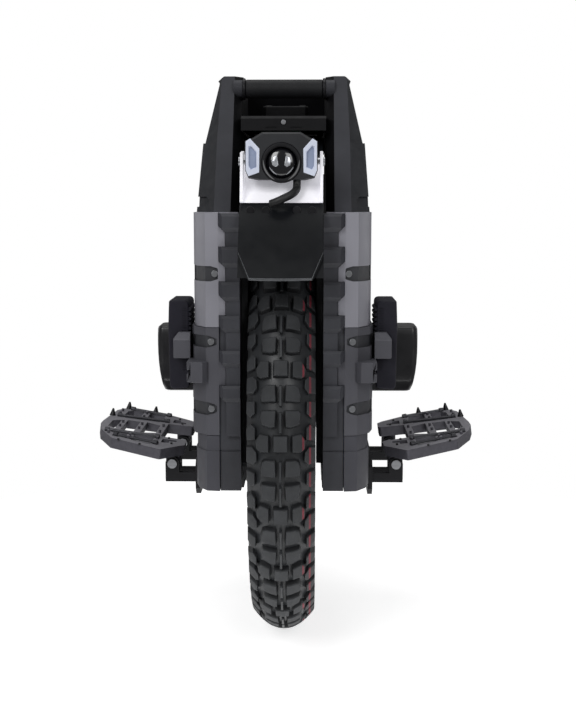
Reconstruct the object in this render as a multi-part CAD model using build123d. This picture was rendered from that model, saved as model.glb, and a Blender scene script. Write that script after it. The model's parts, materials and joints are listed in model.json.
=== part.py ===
from build123d import *
import os
from math import atan2, cos, degrees, pi, radians, sin, sqrt, tan

# Suspension electric unicycle.  Millimetres, front faces -Y, right side +X,
# up +Z, origin on the ground under the axle.

# ---- wheel -------------------------------------------------------------
TYRE_R = 250.0            # rolling radius of a 2.75-14 tyre
TYRE_HALF = 36.0          # half of the tyre's width
TYRE_WALL = 7.0
BEAD_R = 178.0            # rim seat of a 14 inch motorcycle tyre
RIM_HALF = 33.0
RIM_LIP = 12.0            # height of the rim's edge over its seat
RIM_WALL = 3.0
DRUM_HALF = 22.0          # half width of the rotor drum
MAGNET_R = 146.0          # inner wall of the drum, where the magnets sit
MAGNET_T = 5.0
MAGNETS = 28
MAGNET_SHARE = 0.86       # part of the drum's wall that the magnets cover
AIR_GAP = 1.0
STATOR_HALF = 17.0
STATOR_RING = 40.0        # depth of the laminated ring
SLOTS = 24
SLOT_W, MOUTH_W = 10.0, 3.0
SLOT_DEPTHS = (4.0, 28.0)
COIL_T = 4.0
SPIDER_HALF = 7.0
SPIDER_HOLES, SPIDER_HOLE_R, SPIDER_PITCH_R = 6, 22.0, 62.0
COVER_T = 5.0             # motor covers
BEARING_R = 21.0
BEARING_W = 12.0
BEARING_BOSS = 8.0
AXLE_R = 10.0
RUN_FIT = 0.05            # radial clearance of every running fit
MOTOR_SCREWS = 12
MOTOR_SCREW_R = 2.5
SCREW_BITE = 10.0         # length of a motor screw in the drum
# ---- heights that the wheel sets ---------------------------------------
TRAVEL = 80.0             # of the suspension
WELL_GAP = 8.0            # tyre to wheel well at full compression
WELL_T = 2.5
FENDER_T = 3.0
SEAT_GAP = 0.2            # well to fender
AXLE_Z = TYRE_R
WELL_Z = AXLE_Z + TRAVEL
WELL_R = TYRE_R + WELL_GAP
FENDER_R = WELL_R + WELL_T + SEAT_GAP
SKIN_R = FENDER_R + FENDER_T
WELL_TOP = WELL_Z + WELL_R + WELL_T
# ---- suspension --------------------------------------------------------
ROD_R = 8.0
ROD_Y = 34.0
ROD_FOOT = AXLE_Z - 50.0
ROD_TOP = AXLE_Z + 238.0
SHELF_T = 12.0            # shelves of the side plates that hold the rods
STRUT_X = 70.0            # plane of the guide rods and shocks, each side
BLOCK_Y = 46.0
BLOCK_X = (52.0, 86.0)
BLOCK_Z = (AXLE_Z - 26.0, AXLE_Z + 42.0)
NUT_R, NUT_T = 15.0, 3.0
SHAFT_R = 6.0
SHAFT_TOP = AXLE_Z + 152.0
DAMPER_R = 13.0
DAMPER_FOOT = AXLE_Z + 140.0
SPRING_R = 18.5           # centre of the wire
SPRING_WIRE = 2.6
SPRING_TURNS = 7
SPRING_Z = (BLOCK_Z[1] + 5.0, AXLE_Z + 187.0)
SPRING_EASE = 0.2         # between the spring's ends and their seats
SEAT_R = SPRING_R + 2.5
SEAT_T = 4.0
# ---- frame and bodywork ------------------------------------------------
BODY_Y = 184.0            # front and rear faces of the body covers
SKIN = 3.0
BUMPER_BASE = 16.0        # depth of the bumpers behind the covers' faces
PLATE_X = 43.5            # inner face of each side plate
PLATE_T = 3.5
PLATE_Y = BODY_Y - SKIN - BUMPER_BASE
PLATE_Z = (AXLE_Z - 52.0, AXLE_Z + 295.0)
LIP_Z = WELL_Z + 107.0    # height of the fender lips
FENDER_TOP_Z = WELL_Z + 182.0
FENDER_SCREW_R = 4.0
FENDER_SCREW_X = (-32, -16, 16, 32)
FENDER_SCREW_Z = FENDER_TOP_Z - 5.5
UPPER_X, MIDDLE_X, LOWER_X = 95.5, 98.0, 94.5
SEAMS_Z = (AXLE_Z - 44.0, AXLE_Z + 16.7, AXLE_Z + 133.0, AXLE_Z + 254.0)
SEAM_GAP = 0.6
FACE_X = 66.5             # inner edge of the covers' front faces
BUMPER_X = (44.0, 66.0)
RIB_TOPS_Z = [AXLE_Z + rise for rise in (253.0, 218.3, 181.8, 146.1, 109.0, 71.7)]
RIB_BOTTOMS_Z = [AXLE_Z + rise for rise in (233.4, 196.5, 160.9, 128.0, 91.0, 53.5)]
RIB_PROUD = 7.0
TAB = 7.0                 # reach of a cover's tabs between the ribs
POCKET_DEPTH = 1.8
POCKETS = ((70.5, AXLE_Z + 190.0, 16.0), (75.0, AXLE_Z + 118.0, 13.0), (75.0, AXLE_Z + 46.0, 14.0))
POCKET_SCREW_R = 3.4
BAND_Z = AXLE_Z           # foot of the sunk band round the lower covers
BAND_DEPTH = 1.0
# ---- cage, handle and electronics --------------------------------------
CAGE_X = 47.0             # inner face of each cage side
CAGE_Z = (SEAMS_Z[3], WELL_TOP - 10.5, WELL_TOP + 60.5, WELL_TOP + 65.5)
# front, crease, flank, flank's corner and front facet of the cage at each height
CAGE_PLAN = ((148.0, 74.0, 95.0, 118.0, 24.0), (102.0, 73.5, 91.0, 76.0, 24.0), (60.0, 71.0, 75.5, 50.0, 12.0),
             (57.0, 68.0, 70.0, 50.0, 12.0))
CAGE_WALL = 4.0
LEDGE = 2.4               # the upper flank stands this much inside the lower one
RECESS = 2.5              # depth of the flank's panel
RECESS_Y = (92.0, 74.0, 40.0)
BAR_Y, BAR_Z = -60.0, WELL_TOP + 51.0
BAR_R = 7.5
BAR_WALL = 2.0
BAR_BOSS = (2.5, 10.0)    # wall and length of the cage's boss round each end of the bar
GRIP_R = 10.5
COLLAR_W = 3.5
COLLAR_PROUD = 1.5
CASE_Z = (WELL_TOP + 2.5, WELL_TOP + 18.5)
CASE_Y = (-100.0, 60.0)
CASE_WALL = 3.0
CASE_SCREW_R = 2.6
BOARD_X, BOARD_T, BOARD_IN = 38.0, 2.0, 12.0
POD_X, POD_Y, POD_TOP = 27.5, (8.0, 44.0), WELL_TOP + 37.5
GLASS_HALF = (14.0, 12.0)
GLASS_T, GLASS_SUNK = 1.6, 0.4
BUTTON_R = 4.0
BUTTON_X = 20.5
BUTTON_STEM = 4.0
BUTTON_FIT = 0.3
BUTTON_TRAVEL = 1.5
COWL_TOP = (68.0, WELL_TOP + 59.5)
COWL_FOOT = (108.0, WELL_TOP - 15.5)
COWL_T = 5.0
PORT_R, PORT_X = 7.5, 16.0
# ---- headlight ---------------------------------------------------------
LENS_Z = FENDER_TOP_Z + 43.0
LENS_R = 16.2
LENS_CURVE = 1.5 * LENS_R
RING_W = 4.6
RING_R = LENS_R + RING_W
RING_DEEP = 14.0
LAMP_OUT = 57.5           # face of the lamp in front of the fender's skin, level with the lens
LAMP_Y = -sqrt(SKIN_R ** 2 - (LENS_Z - WELL_Z) ** 2) - LAMP_OUT
LAMP_X = 37.5
LAMP_OUTLINE = [(20, 31), (29, 25.5), (LAMP_X, 22), (LAMP_X, -8), (34, -16), (24, -18)]
STRIP_X = (RING_R + 1.7, LAMP_X - 0.9)
STRIP = [(STRIP_X[0], 14), (32, 24.5), (STRIP_X[1], 21.5), (STRIP_X[1], -8), (34, -14), (STRIP_X[0] + 0.3, -10)]
DISH = [(RING_R + 4.7, 11), (31.5, 17.5), (34, 16), (34, -3), (31.8, -7.5), (RING_R + 4.7, -5)]
TILT_Y, TILT_Z = LAMP_Y + 18.0, LENS_Z + 1.6
TILT_PIN_R = 3.0
FLANGE_X = 40.0
FLANGE_T = 3.0
BRACKET_GAP, BRACKET_T = 0.3, 2.5
CABLE_R = 4.2
CABLE = [(16, -186, 532), (15.5, -190.5, 527), (11, -197.5, 522.5), (3.5, -202, 519), (-4, -202.5, 515.5),
         (-10.5, -199, 513)]
# ---- pedals ------------------------------------------------------------
PEDAL_X = 116.0           # inner ends of the pedal arms
PEDAL_LEN = 109.5         # arms' ends to the outer edge
PEDAL_Y = -8.0            # fore and aft centre
FRONT_BEAM = ((24.0, -106.0), (84.0, -80.0))   # edge of the pedal's front beam, outwards and aft
BEAM_WALL = 12.0
REAR_HALF = 108.0
PEDAL_T = 12.0
PEDAL_TOP_Z = AXLE_Z - 16.5   # top face above the arms' ends
PEDAL_RISE = 7.4          # degrees that the deck rises outwards
ARM_Y = 58.0              # arm centres from the pedal's centre
PIN_R, PIN_H = 1.6, 3.5
PIN_PLACES = [(s, side * y) for side in (-1, 1) for s, y in ((66, 58), (62, 13), (85.5, 12), (34, 56), (36, 18))]
PIN_PLACES += [(66, -72), (92, -56), (66, 82), (97, 62), (97, 82)]
SPIKE_R, SPIKE_H = 4.0, 9.0
SPIKE_PLACES = ((92, 103), (56, 96), (104.5, 48))
HINGE_X, HINGE_Z = 130.0, AXLE_Z - 37.0
HINGE_R = 4.0
KNUCKLE_R = 8.0
KNUCKLE_HALF = 10.0
LUG_T = 6.0
LUG_FIT = 0.4
HANGER_X = (97.0, 102.5)
HANGER_Z = (AXLE_Z - 73.0, AXLE_Z - 31.0)
HANGER_HALF = 80.0
HANGER_SCREW_R = 4.0
HANGER_SCREW_PITCH = 28.0
SPACER_T = 8.0
# ---- pads --------------------------------------------------------------
FRONT_PAD = ((99.5, 125.0), (-146.0, -84.0), (AXLE_Z + 60.0, AXLE_Z + 159.0))
REAR_PAD = ((99.5, 172.0), (116.0, 168.0), (AXLE_Z + 16.0, AXLE_Z + 102.0))
CLAMP_Z = (AXLE_Z + 97.0, AXLE_Z + 125.0)
CLAMP_T = 13.0
BRACKET_Z = (AXLE_Z + 75.0, AXLE_Z + 97.0)

FAR = 400.0               # beyond the outside of every piece


def block(x, y, z):
    """A box from its three ranges."""
    return Pos((x[0] + x[1]) / 2, (y[0] + y[1]) / 2, (z[0] + z[1]) / 2) * Box(
        x[1] - x[0], y[1] - y[0], z[1] - z[0])


def rod_x(r, x0, x1, y, z):
    """A cylinder along X."""
    return Pos((x0 + x1) / 2, y, z) * Rot(0, 90, 0) * Cylinder(r, x1 - x0)


def rod_y(r, y0, y1, x, z):
    """A cylinder along Y."""
    return Pos(x, (y0 + y1) / 2, z) * Rot(90, 0, 0) * Cylinder(r, y1 - y0)


def rod_z(r, z0, z1, x, y):
    """A cylinder along Z."""
    return Pos(x, y, (z0 + z1) / 2) * Cylinder(r, z1 - z0)


def ring_x(r_out, r_in, x0, x1, z=AXLE_Z):
    """A ring around the X axis at height z."""
    return rod_x(r_out, x0, x1, 0, z) - rod_x(r_in, x0 - 1, x1 + 1, 0, z)


def about_axle(shape, angle):
    """The piece turned about the wheel's axis."""
    return Pos(0, 0, AXLE_Z) * Rot(angle, 0, 0) * Pos(0, 0, -AXLE_Z) * shape


def prism_x(points, x0, x1):
    """A (y, z) outline extruded along X."""
    return Pos(x0, 0, 0) * extrude(Plane.YZ * Polygon(*points, align=None), x1 - x0, dir=(1, 0, 0))


def prism_y(points, y0, y1):
    """An (x, z) outline extruded along Y."""
    return Pos(0, y0, 0) * extrude(Plane.XZ * Polygon(*points, align=None), y1 - y0, dir=(0, 1, 0))


def prism_z(points, z0, z1):
    """An (x, y) outline extruded along Z."""
    return Pos(0, 0, z0) * extrude(Polygon(*points, align=None), z1 - z0, dir=(0, 0, 1))


def mirrored(shape):
    """The same piece on the other side of the wheel."""
    return mirror(shape, about=Plane.YZ)


def both(shape):
    """A piece and its mirror image, as two solids."""
    return group([shape, mirrored(shape)])


def group(shapes):
    """Several pieces as one node of separate solids."""
    return Compound(children=[s for shape in shapes for s in shape.solids()])


def front_and_back(points):
    """A half outline, given from the front, closed by its mirror image in Y."""
    return points + [(x, -y) for x, y in reversed(points)]


# ======================= wheel ==========================================
def tyre():
    half, wall, lip = TYRE_HALF, TYRE_WALL, BEAD_R + RIM_LIP
    seat = RIM_HALF - RIM_WALL
    profile = [(seat, BEAD_R), (seat, lip), (half - 1, lip + 10), (half, TYRE_R - 30),
               (half - 3, TYRE_R - 11), (half - 13, TYRE_R - 2), (half - 24, TYRE_R)]
    hollow = [(seat - wall, BEAD_R), (seat - wall, lip), (half - wall - 1, lip + 14),
              (half - wall, TYRE_R - 30), (half - wall - 4, TYRE_R - wall - 8), (8, TYRE_R - wall - 1)]
    outline = profile + [(-x, r) for x, r in reversed(profile)]
    inside = hollow + [(-x, r) for x, r in reversed(hollow)]
    section = Plane.XZ * (Polygon(*outline, align=None) - Polygon(*inside, align=None))
    return Pos(0, 0, AXLE_Z) * revolve(section, Axis.X)


def rim():
    seat = ring_x(BEAD_R, BEAD_R - RIM_WALL, -RIM_HALF, RIM_HALF)
    edge = ring_x(BEAD_R + RIM_LIP, BEAD_R - RIM_WALL, RIM_HALF - RIM_WALL, RIM_HALF)
    drum = ring_x(BEAD_R - RIM_WALL, MAGNET_R, -DRUM_HALF, DRUM_HALF)
    body = seat + edge + mirrored(edge) + drum
    return body - motor_screw_shanks()


def magnets():
    half_width = MAGNET_SHARE * pi * MAGNET_R / MAGNETS
    outer = sqrt(MAGNET_R ** 2 - half_width ** 2) - 0.02
    bar = block((-STATOR_HALF, STATOR_HALF), (-half_width, half_width),
                (AXLE_Z + outer - MAGNET_T + 0.7, AXLE_Z + outer))
    return group([about_axle(bar, i * 360 / MAGNETS) for i in range(MAGNETS)])


def motor_screw_places():
    pitch_r = (MAGNET_R + BEAD_R - RIM_WALL) / 2
    for i in range(MOTOR_SCREWS):
        a = radians(360 / MOTOR_SCREWS * (i + 0.5))
        yield pitch_r * sin(a), AXLE_Z + pitch_r * cos(a)


def motor_screw_shanks():
    cuts = []
    for y, z in motor_screw_places():
        for side in (-1, 1):
            x0, x1 = sorted((side * (DRUM_HALF - SCREW_BITE), side * (DRUM_HALF + COVER_T)))
            cuts.append(rod_x(MOTOR_SCREW_R, x0, x1, y, z))
    return Compound(children=cuts)


def motor_screws():
    pieces = []
    for y, z in motor_screw_places():
        head_x = DRUM_HALF + COVER_T
        shank = rod_x(MOTOR_SCREW_R, DRUM_HALF - SCREW_BITE, head_x, y, z)
        head = rod_x(2 * MOTOR_SCREW_R, head_x, head_x + MOTOR_SCREW_R, y, z)
        screw = shank + head - rod_x(MOTOR_SCREW_R / 2, head_x + 1, head_x + 2 * MOTOR_SCREW_R, y, z)
        pieces += [screw, mirrored(screw)]
    return group(pieces)


def motor_cover():
    x0, x1 = DRUM_HALF, DRUM_HALF + COVER_T
    disc = ring_x(BEAD_R - RIM_WALL - 1, BEARING_R, x0, x1)
    boss = ring_x(BEARING_R + BEARING_BOSS, BEARING_R, x0 - 2, x0 + BEARING_W)
    ribs = ring_x(MAGNET_R - 20, MAGNET_R - 24, x1, x1 + 2)
    cover = disc + boss + ribs
    for y, z in motor_screw_places():
        cover -= rod_x(MOTOR_SCREW_R, x0 - 1, x1 + 1, y, z)
    return cover


def bearing():
    return ring_x(BEARING_R, AXLE_R + RUN_FIT, DRUM_HALF, DRUM_HALF + BEARING_W)


# ======================= axle and suspension ============================
def axle():
    end = BLOCK_X[1] + NUT_T + 1
    return rod_x(AXLE_R, -end, end, 0, AXLE_Z)


def stator_radius():
    return MAGNET_R - MAGNET_T - AIR_GAP


def stator():
    outer, half = stator_radius(), STATOR_HALF + 1
    shallow, deep = SLOT_DEPTHS
    core = ring_x(outer, outer - STATOR_RING, -STATOR_HALF, STATOR_HALF)
    slot = block((-half, half), (-SLOT_W / 2, SLOT_W / 2), (AXLE_Z + outer - deep, AXLE_Z + outer - shallow))
    mouth = block((-half, half), (-MOUTH_W / 2, MOUTH_W / 2), (AXLE_Z + outer - shallow - 1, AXLE_Z + MAGNET_R))
    for i in range(SLOTS):
        core -= about_axle(slot + mouth, i * 360 / SLOTS)
    spider = ring_x(outer - STATOR_RING, AXLE_R, -SPIDER_HALF, SPIDER_HALF)
    hole = rod_x(SPIDER_HOLE_R, -half, half, 0, AXLE_Z + SPIDER_PITCH_R)
    for i in range(SPIDER_HOLES):
        spider -= about_axle(hole, i * 360 / SPIDER_HOLES)
    return core + spider


def windings():
    shallow, deep = SLOT_DEPTHS
    outer = stator_radius()
    return both(ring_x(outer - shallow - 1, outer - deep + 1, STATOR_HALF, STATOR_HALF + COIL_T))


def axle_block():
    """The block that slides on the guide rods, and the axle's nut on it."""
    body = block(BLOCK_X, (-BLOCK_Y, BLOCK_Y), BLOCK_Z)
    body = chamfer(body.edges().filter_by(Axis.X), 6)
    bore = rod_x(AXLE_R, 0, FAR, 0, AXLE_Z)
    for y in (-ROD_Y, ROD_Y):
        body -= rod_z(ROD_R + RUN_FIT, BLOCK_Z[0] - 1, BLOCK_Z[1] + 1, STRUT_X, y)
    hexagon = extrude(RegularPolygon(NUT_R, 6), NUT_T, dir=(0, 0, 1))
    nut = Pos(BLOCK_X[1], 0, AXLE_Z) * Rot(0, 90, 0) * hexagon
    return [body - bore, nut - bore]


def shock_shaft():
    seat = rod_z(SEAT_R, SPRING_Z[0] - SEAT_T, SPRING_Z[0], STRUT_X, 0)
    foot = rod_z(SHAFT_R + 4, BLOCK_Z[1], SPRING_Z[0] - SEAT_T, STRUT_X, 0)
    return rod_z(SHAFT_R, BLOCK_Z[1], SHAFT_TOP, STRUT_X, 0) + seat + foot


def shock_body():
    bore = rod_z(SHAFT_R + 0.5, DAMPER_FOOT - 1, ROD_TOP - 3, STRUT_X, 0)
    tube = rod_z(DAMPER_R, DAMPER_FOOT, ROD_TOP, STRUT_X, 0) - bore
    collar_z = SPRING_Z[1]
    collar = rod_z(SEAT_R, collar_z, collar_z + SEAT_T, STRUT_X, 0)
    collar -= rod_z(DAMPER_R, collar_z - 1, collar_z + SEAT_T + 1, STRUT_X, 0)
    return tube + collar


def spring():
    low, high = SPRING_Z[0] + SPRING_WIRE + SPRING_EASE, SPRING_Z[1] - SPRING_WIRE - SPRING_EASE
    path = Helix(pitch=(high - low) / SPRING_TURNS, height=high - low, radius=SPRING_R)
    start = path @ 0
    section = Plane(origin=start, z_dir=path % 0) * Circle(SPRING_WIRE)
    return Pos(STRUT_X, 0, low) * sweep(section, path=path, is_frenet=True)


def guide_rods():
    rods = [rod_z(ROD_R, ROD_FOOT, ROD_TOP + SHELF_T, STRUT_X, y) for y in (-ROD_Y, ROD_Y)]
    return group(rods + [mirrored(r) for r in rods])


def side_plate():
    y, (z0, z1) = PLATE_Y, PLATE_Z
    half = [(y - 30, z0), (y, z0 + 30), (y, z1 - 75), (y - 35, z1 - 45), (y - 65, z1)]
    points = half + [(-py, pz) for py, pz in reversed(half)]
    plate = prism_x(points, PLATE_X, PLATE_X + PLATE_T)
    gap = AXLE_R + 2
    plate -= block((0, FAR), (-gap, gap), (AXLE_Z, WELL_Z))
    for z in (AXLE_Z, WELL_Z):
        plate -= rod_x(gap, 0, FAR, 0, z)
    for foot_z, head_z in ((ROD_FOOT, ROD_FOOT + SHELF_T), (ROD_TOP, ROD_TOP + SHELF_T)):
        shelf = block((PLATE_X + PLATE_T, BLOCK_X[1]), (-BLOCK_Y, BLOCK_Y), (foot_z, head_z))
        for rod_side in (-ROD_Y, ROD_Y):
            shelf -= rod_z(ROD_R, foot_z - 1, head_z + 1, STRUT_X, rod_side)
        plate += shelf
    return plate


# ======================= wheel well and fenders =========================
def shell(r_in, r_out, x, z_low, side):
    """A curved plate over the wheel, from height z_low up to FENDER_TOP_Z or over the top."""
    ring = ring_x(r_out, r_in, -x, x, WELL_Z)
    if side == 0:
        return ring & block((-x, x), (-FAR, FAR), (z_low, WELL_TOP + 1))
    y = (-FAR, 0) if side < 0 else (0, FAR)
    return ring & block((-x, x), y, (z_low, FENDER_TOP_Z))


def wheel_well():
    well = shell(WELL_R, WELL_R + WELL_T, PLATE_X, LIP_Z + 2, 0)
    for screw in fender_screws():
        well -= screw
    return well


def fender(side):
    skin = shell(FENDER_R, SKIN_R, PLATE_X, LIP_Z, side)
    y_lip = side * sqrt(SKIN_R ** 2 - (LIP_Z - WELL_Z) ** 2)
    corner = PLATE_X - 12
    for x_side in (-1, 1):
        edge = x_side * (PLATE_X + 1)
        skin -= prism_y([(x_side * corner, LIP_Z - 2), (edge, LIP_Z - 2), (edge, LIP_Z + 26)],
                        y_lip - 40, y_lip + 40)
    if side < 0:
        for screw in fender_screws():
            skin -= screw
    return skin


def fender_screws():
    y = -sqrt(SKIN_R ** 2 - (FENDER_SCREW_Z - WELL_Z) ** 2)
    return [rod_y(FENDER_SCREW_R, y - 2.5, y + 4, x, FENDER_SCREW_Z) for x in FENDER_SCREW_X]


# ======================= body covers ====================================
def cover_outline(x_out, inset=0.0):
    """Plan of one body cover: front face, corner facets and flank, mirrored to the rear."""
    face = BODY_Y - inset
    x = x_out - inset
    inner = FACE_X - (1 if inset else 0)
    return front_and_back([(inner, -face), (FACE_X + 14, -face + 2), (x - 4, -face + 17), (x, -face + 36)])


def cover(x_out, z0, z1, gap=SEAM_GAP):
    wall = prism_z(cover_outline(x_out), z0 + gap, z1)
    return wall - prism_z(cover_outline(x_out, SKIN), z0 - 1, z1 + 1)


def cover_floor(x_out, z0, z1):
    """The flat top or bottom of a body cover, from the side plate to the outline."""
    notch = PLATE_Y - 0.5
    inner = PLATE_X + PLATE_T
    outline = cover_outline(x_out)
    half = outline[:len(outline) // 2]
    return prism_z(front_and_back([(inner, -notch), (FACE_X, -notch)] + half), z0, z1)


def pocket_outline(x, z, h):
    """Front view of a pocket: open at the flank, with a blunt point round its screw."""
    half = h / 2 + 0.5
    upper = [(120, half), (x + 6, half), (x - 2.5, half - 2.5), (x - 6, 3)]
    return [(px, z + dz) for px, dz in upper] + [(px, z - dz) for px, dz in reversed(upper)]


def pocket_cuts(x_out):
    """Channels sunk into the front and rear faces and round the corner facets."""
    cuts = []
    for x, z, h in POCKETS:
        skin = prism_z(cover_outline(x_out), z - h / 2, z + h / 2)
        skin -= prism_z(cover_outline(x_out, POCKET_DEPTH), z - h, z + h)
        for y in ((-FAR, 40 - BODY_Y), (BODY_Y - 40, FAR)):
            cuts.append(skin & prism_y(pocket_outline(x, z, h), *y))
    return cuts


def pocket_screws():
    pieces = []
    for x, z, _ in POCKETS:
        for side in (-1, 1):
            y = sorted((side * (BODY_Y - SKIN - 3), side * (BODY_Y + 0.4)))
            pieces.append(rod_y(POCKET_SCREW_R, *y, x, z))
    return pieces


def upper_cover():
    body = cover(UPPER_X, SEAMS_Z[2], SEAMS_Z[3])
    return drilled(body + cover_floor(UPPER_X, SEAMS_Z[3] - SKIN, SEAMS_Z[3]), UPPER_X)


def middle_cover():
    return drilled(cover(MIDDLE_X, SEAMS_Z[1], SEAMS_Z[2]), MIDDLE_X)


def lower_cover():
    floor = cover_floor(LOWER_X, SEAMS_Z[0], SEAMS_Z[0] + SKIN)
    floor -= block((0, BLOCK_X[1] + 1), (-BLOCK_Y - 1, BLOCK_Y + 1), (0, AXLE_Z))
    band = prism_z(cover_outline(LOWER_X), BAND_Z, SEAMS_Z[1] + 1)
    band -= prism_z(cover_outline(LOWER_X, BAND_DEPTH), BAND_Z - 1, SEAMS_Z[1] + 2)
    return cover(LOWER_X, SEAMS_Z[0], SEAMS_Z[1], 0) + floor - band


def drilled(body, x_out):
    """The cover with its channels, screw holes and the tabs that reach between the bumper's ribs."""
    for cut in pocket_cuts(x_out):
        body -= cut
    for screw in pocket_screws():
        body -= screw
    low, high = body.bounding_box().min.Z, body.bounding_box().max.Z
    for top, bottom in rib_gaps():
        if low < bottom and top + TAB < high:
            for y in ((-BODY_Y, SKIN - BODY_Y), (BODY_Y - SKIN, BODY_Y)):
                root, tip = FACE_X + 0.5, FACE_X - TAB
                body += prism_y([(root, top + TAB), (tip, top - 0.3), (tip, bottom + 0.3), (root, bottom + 0.3)], *y)
    return body


def rib_gaps():
    """Top and bottom of each gap between one rib and the next."""
    return list(zip(RIB_BOTTOMS_Z[:-1], RIB_TOPS_Z[1:]))


def bumper():
    x0, x1 = BUMPER_X
    face = BODY_Y - SKIN
    base = block((x0, x1), (-face, -face + BUMPER_BASE), (SEAMS_Z[0], RIB_TOPS_Z[0]))
    middle = block((x0, x1 - TAB), (-face - 5.5, -face), (SEAMS_Z[1], RIB_TOPS_Z[0]))
    body = base + middle
    for top, low in zip(RIB_TOPS_Z, RIB_BOTTOMS_Z):
        y0, y1 = -face, -face - 3 - RIB_PROUD
        outline = [(y0, top), (y1 + 2, top), (y1, top - 3), (y1, low + 5), (y1 + 4, low), (y0, low)]
        rib = prism_x(outline, x0, x1)
        rib -= prism_z([(x1 - 5, y1 - 1), (x1 + 1, y1 - 1), (x1 + 1, y1 + 6)], low - 1, top + 1)
        rib -= prism_y([(x1 + 1, low - 1), (x1 - TAB - 1, low - 1), (x1 + 1, low + TAB + 0.5)], y1 - 1, y0)
        body += rib
    return body - block((x0 - 1, x1 + 1), (-face - 1, -face + BAND_DEPTH), (BAND_Z - 1, BAND_Z + 1))


# ======================= cage ===========================================
def cage_section(level, inset=0.0, shift=0.0):
    """Plan of one cage side at one of its heights, shrunk by inset and moved by shift in Z."""
    front, crease, x_out, corner, facet = CAGE_PLAN[level]
    x_in = CAGE_X + inset
    f = front - inset
    front_half = [(x_in, -f + facet), (x_in + 9, -f), (crease - inset * 0.5, -f), (x_out - inset, -corner)]
    return Pos(0, 0, CAGE_Z[level] + shift) * Polygon(*front_and_back(front_half), align=None)


def cage_stage(level, inset=0.0, shifts=(0.0, 0.0)):
    """The cage side from one of its heights to the next, as a full solid."""
    low = cage_section(level, inset, shifts[0])
    return loft([low, cage_section(level + 1, inset, shifts[1])], ruled=True)


def cage():
    solid = cage_stage(0) + cage_stage(1) + cage_stage(2)
    solid -= cage_stage(0, CAGE_WALL, (-1, 0)) + cage_stage(1, CAGE_WALL, (0, -CAGE_WALL))
    solid -= flank_recess()
    solid -= upper_flank_step() + base_pocket()
    wall, length = BAR_BOSS
    solid += rod_x(BAR_R + wall, CAGE_X, CAGE_X + length, BAR_Y, BAR_Z)
    return solid - rod_x(BAR_R, 0, CAGE_X + CAGE_WALL, BAR_Y, BAR_Z)


def flank_recess():
    """A shallow trapezoid panel sunk into the outer flank."""
    heights = (CAGE_Z[0] + 22, CAGE_Z[1], CAGE_Z[2] - 15)
    half = list(zip(RECESS_Y, heights))
    band = prism_x(half + [(-y, z) for y, z in reversed(half)], CAGE_X + 12, FAR)
    return band - cage_stage(0, RECESS) - cage_stage(1, RECESS)


def upper_flank_step():
    """The skin taken off the flank above the ledge."""
    skin = cage_stage(1)
    crease = CAGE_PLAN[1][1]
    return skin - Pos(-LEDGE, 0, 0) * skin - block((0, crease), (-FAR, FAR), (CAGE_Z[1] - 1, CAGE_Z[2] + 1))


def base_pocket():
    """A slot in the corner facet over the upper cover's edge, front and rear."""
    z, x = CAGE_Z[0] + 11, CAGE_PLAN[0][2]
    upper = [(x - 15, 2), (x - 11, 5.5), (x + 5, 5.5)]
    slot = prism_y([(px, z + dz) for px, dz in upper] + [(px, z - dz) for px, dz in reversed(upper)], -FAR, FAR)
    flank = block((0, FAR), (-RECESS_Y[0], RECESS_Y[0]), (CAGE_Z[0] - 1, CAGE_Z[1]))
    return slot - cage_stage(0, RECESS) - flank


def handle_bar():
    end = CAGE_X + CAGE_WALL
    return rod_x(BAR_R, -end, end, BAR_Y, BAR_Z) - rod_x(BAR_R - BAR_WALL, -end - 1, end + 1, BAR_Y, BAR_Z)


def handle_grip():
    end = CAGE_X - COLLAR_W
    grip = rod_x(GRIP_R, -end, end, BAR_Y, BAR_Z)
    return fillet(grip.edges(), 1.5) - rod_x(BAR_R, -end - 1, end + 1, BAR_Y, BAR_Z)


def handle_collar():
    collar = rod_x(GRIP_R + COLLAR_PROUD, CAGE_X - COLLAR_W, CAGE_X, BAR_Y, BAR_Z)
    return chamfer(collar.edges(), 0.8) - rod_x(BAR_R, 0, CAGE_X + 1, BAR_Y, BAR_Z)


def controller_case():
    wall, x = CASE_WALL, CAGE_X
    case = block((-x, x), CASE_Y, CASE_Z)
    case = chamfer(case.edges().filter_by(Axis.X).group_by(Axis.Z)[-1], 3)
    case -= block((wall - x, x - wall), (CASE_Y[0] + wall, CASE_Y[1] - wall), (CASE_Z[0] - 1, CASE_Z[1] - wall))
    for x0, x1 in ((-20, -8), (8, 20)):
        case -= block((x0, x1), (CASE_Y[0] - 1, CASE_Y[0] + 1), (CASE_Z[0] + 2, CASE_Z[0] + 4))
    return case - case_screw()


def case_screw():
    return rod_y(CASE_SCREW_R, CASE_Y[0] - 1.5, CASE_Y[0] + 4, 0, CASE_Z[0] + 9)


def controller_board():
    """The controller's board with a row of capacitors and a row of transistors."""
    top = CASE_Z[0] + 2 + BOARD_T
    board = block((-BOARD_X, BOARD_X), (CASE_Y[0] + BOARD_IN, CASE_Y[1] - BOARD_IN), (top - BOARD_T, top))
    for x in range(-30, 31, 12):
        board += rod_z(5, top, CASE_Z[1] - CASE_WALL - 1, x, CASE_Y[0] + 30)
        board += block((x - 4, x + 5), (CASE_Y[0] + 60, CASE_Y[0] + 70), (top, top + 6))
    return board


def display_pod():
    pod = block((-POD_X, POD_X), POD_Y, (CASE_Z[1], POD_TOP))
    pod = chamfer(pod.edges().filter_by(Axis.Z), 4)
    pod = fillet(pod.faces().sort_by(Axis.Z)[-1].edges(), 2)
    mid = sum(POD_Y) / 2
    pod -= display_opening(POD_TOP + 1)
    for x in (-BUTTON_X, BUTTON_X):
        pod -= rod_z(BUTTON_R + BUTTON_FIT, POD_TOP - BUTTON_STEM - BUTTON_TRAVEL - 0.5, POD_TOP + 1, x, mid)
    return pod


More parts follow.
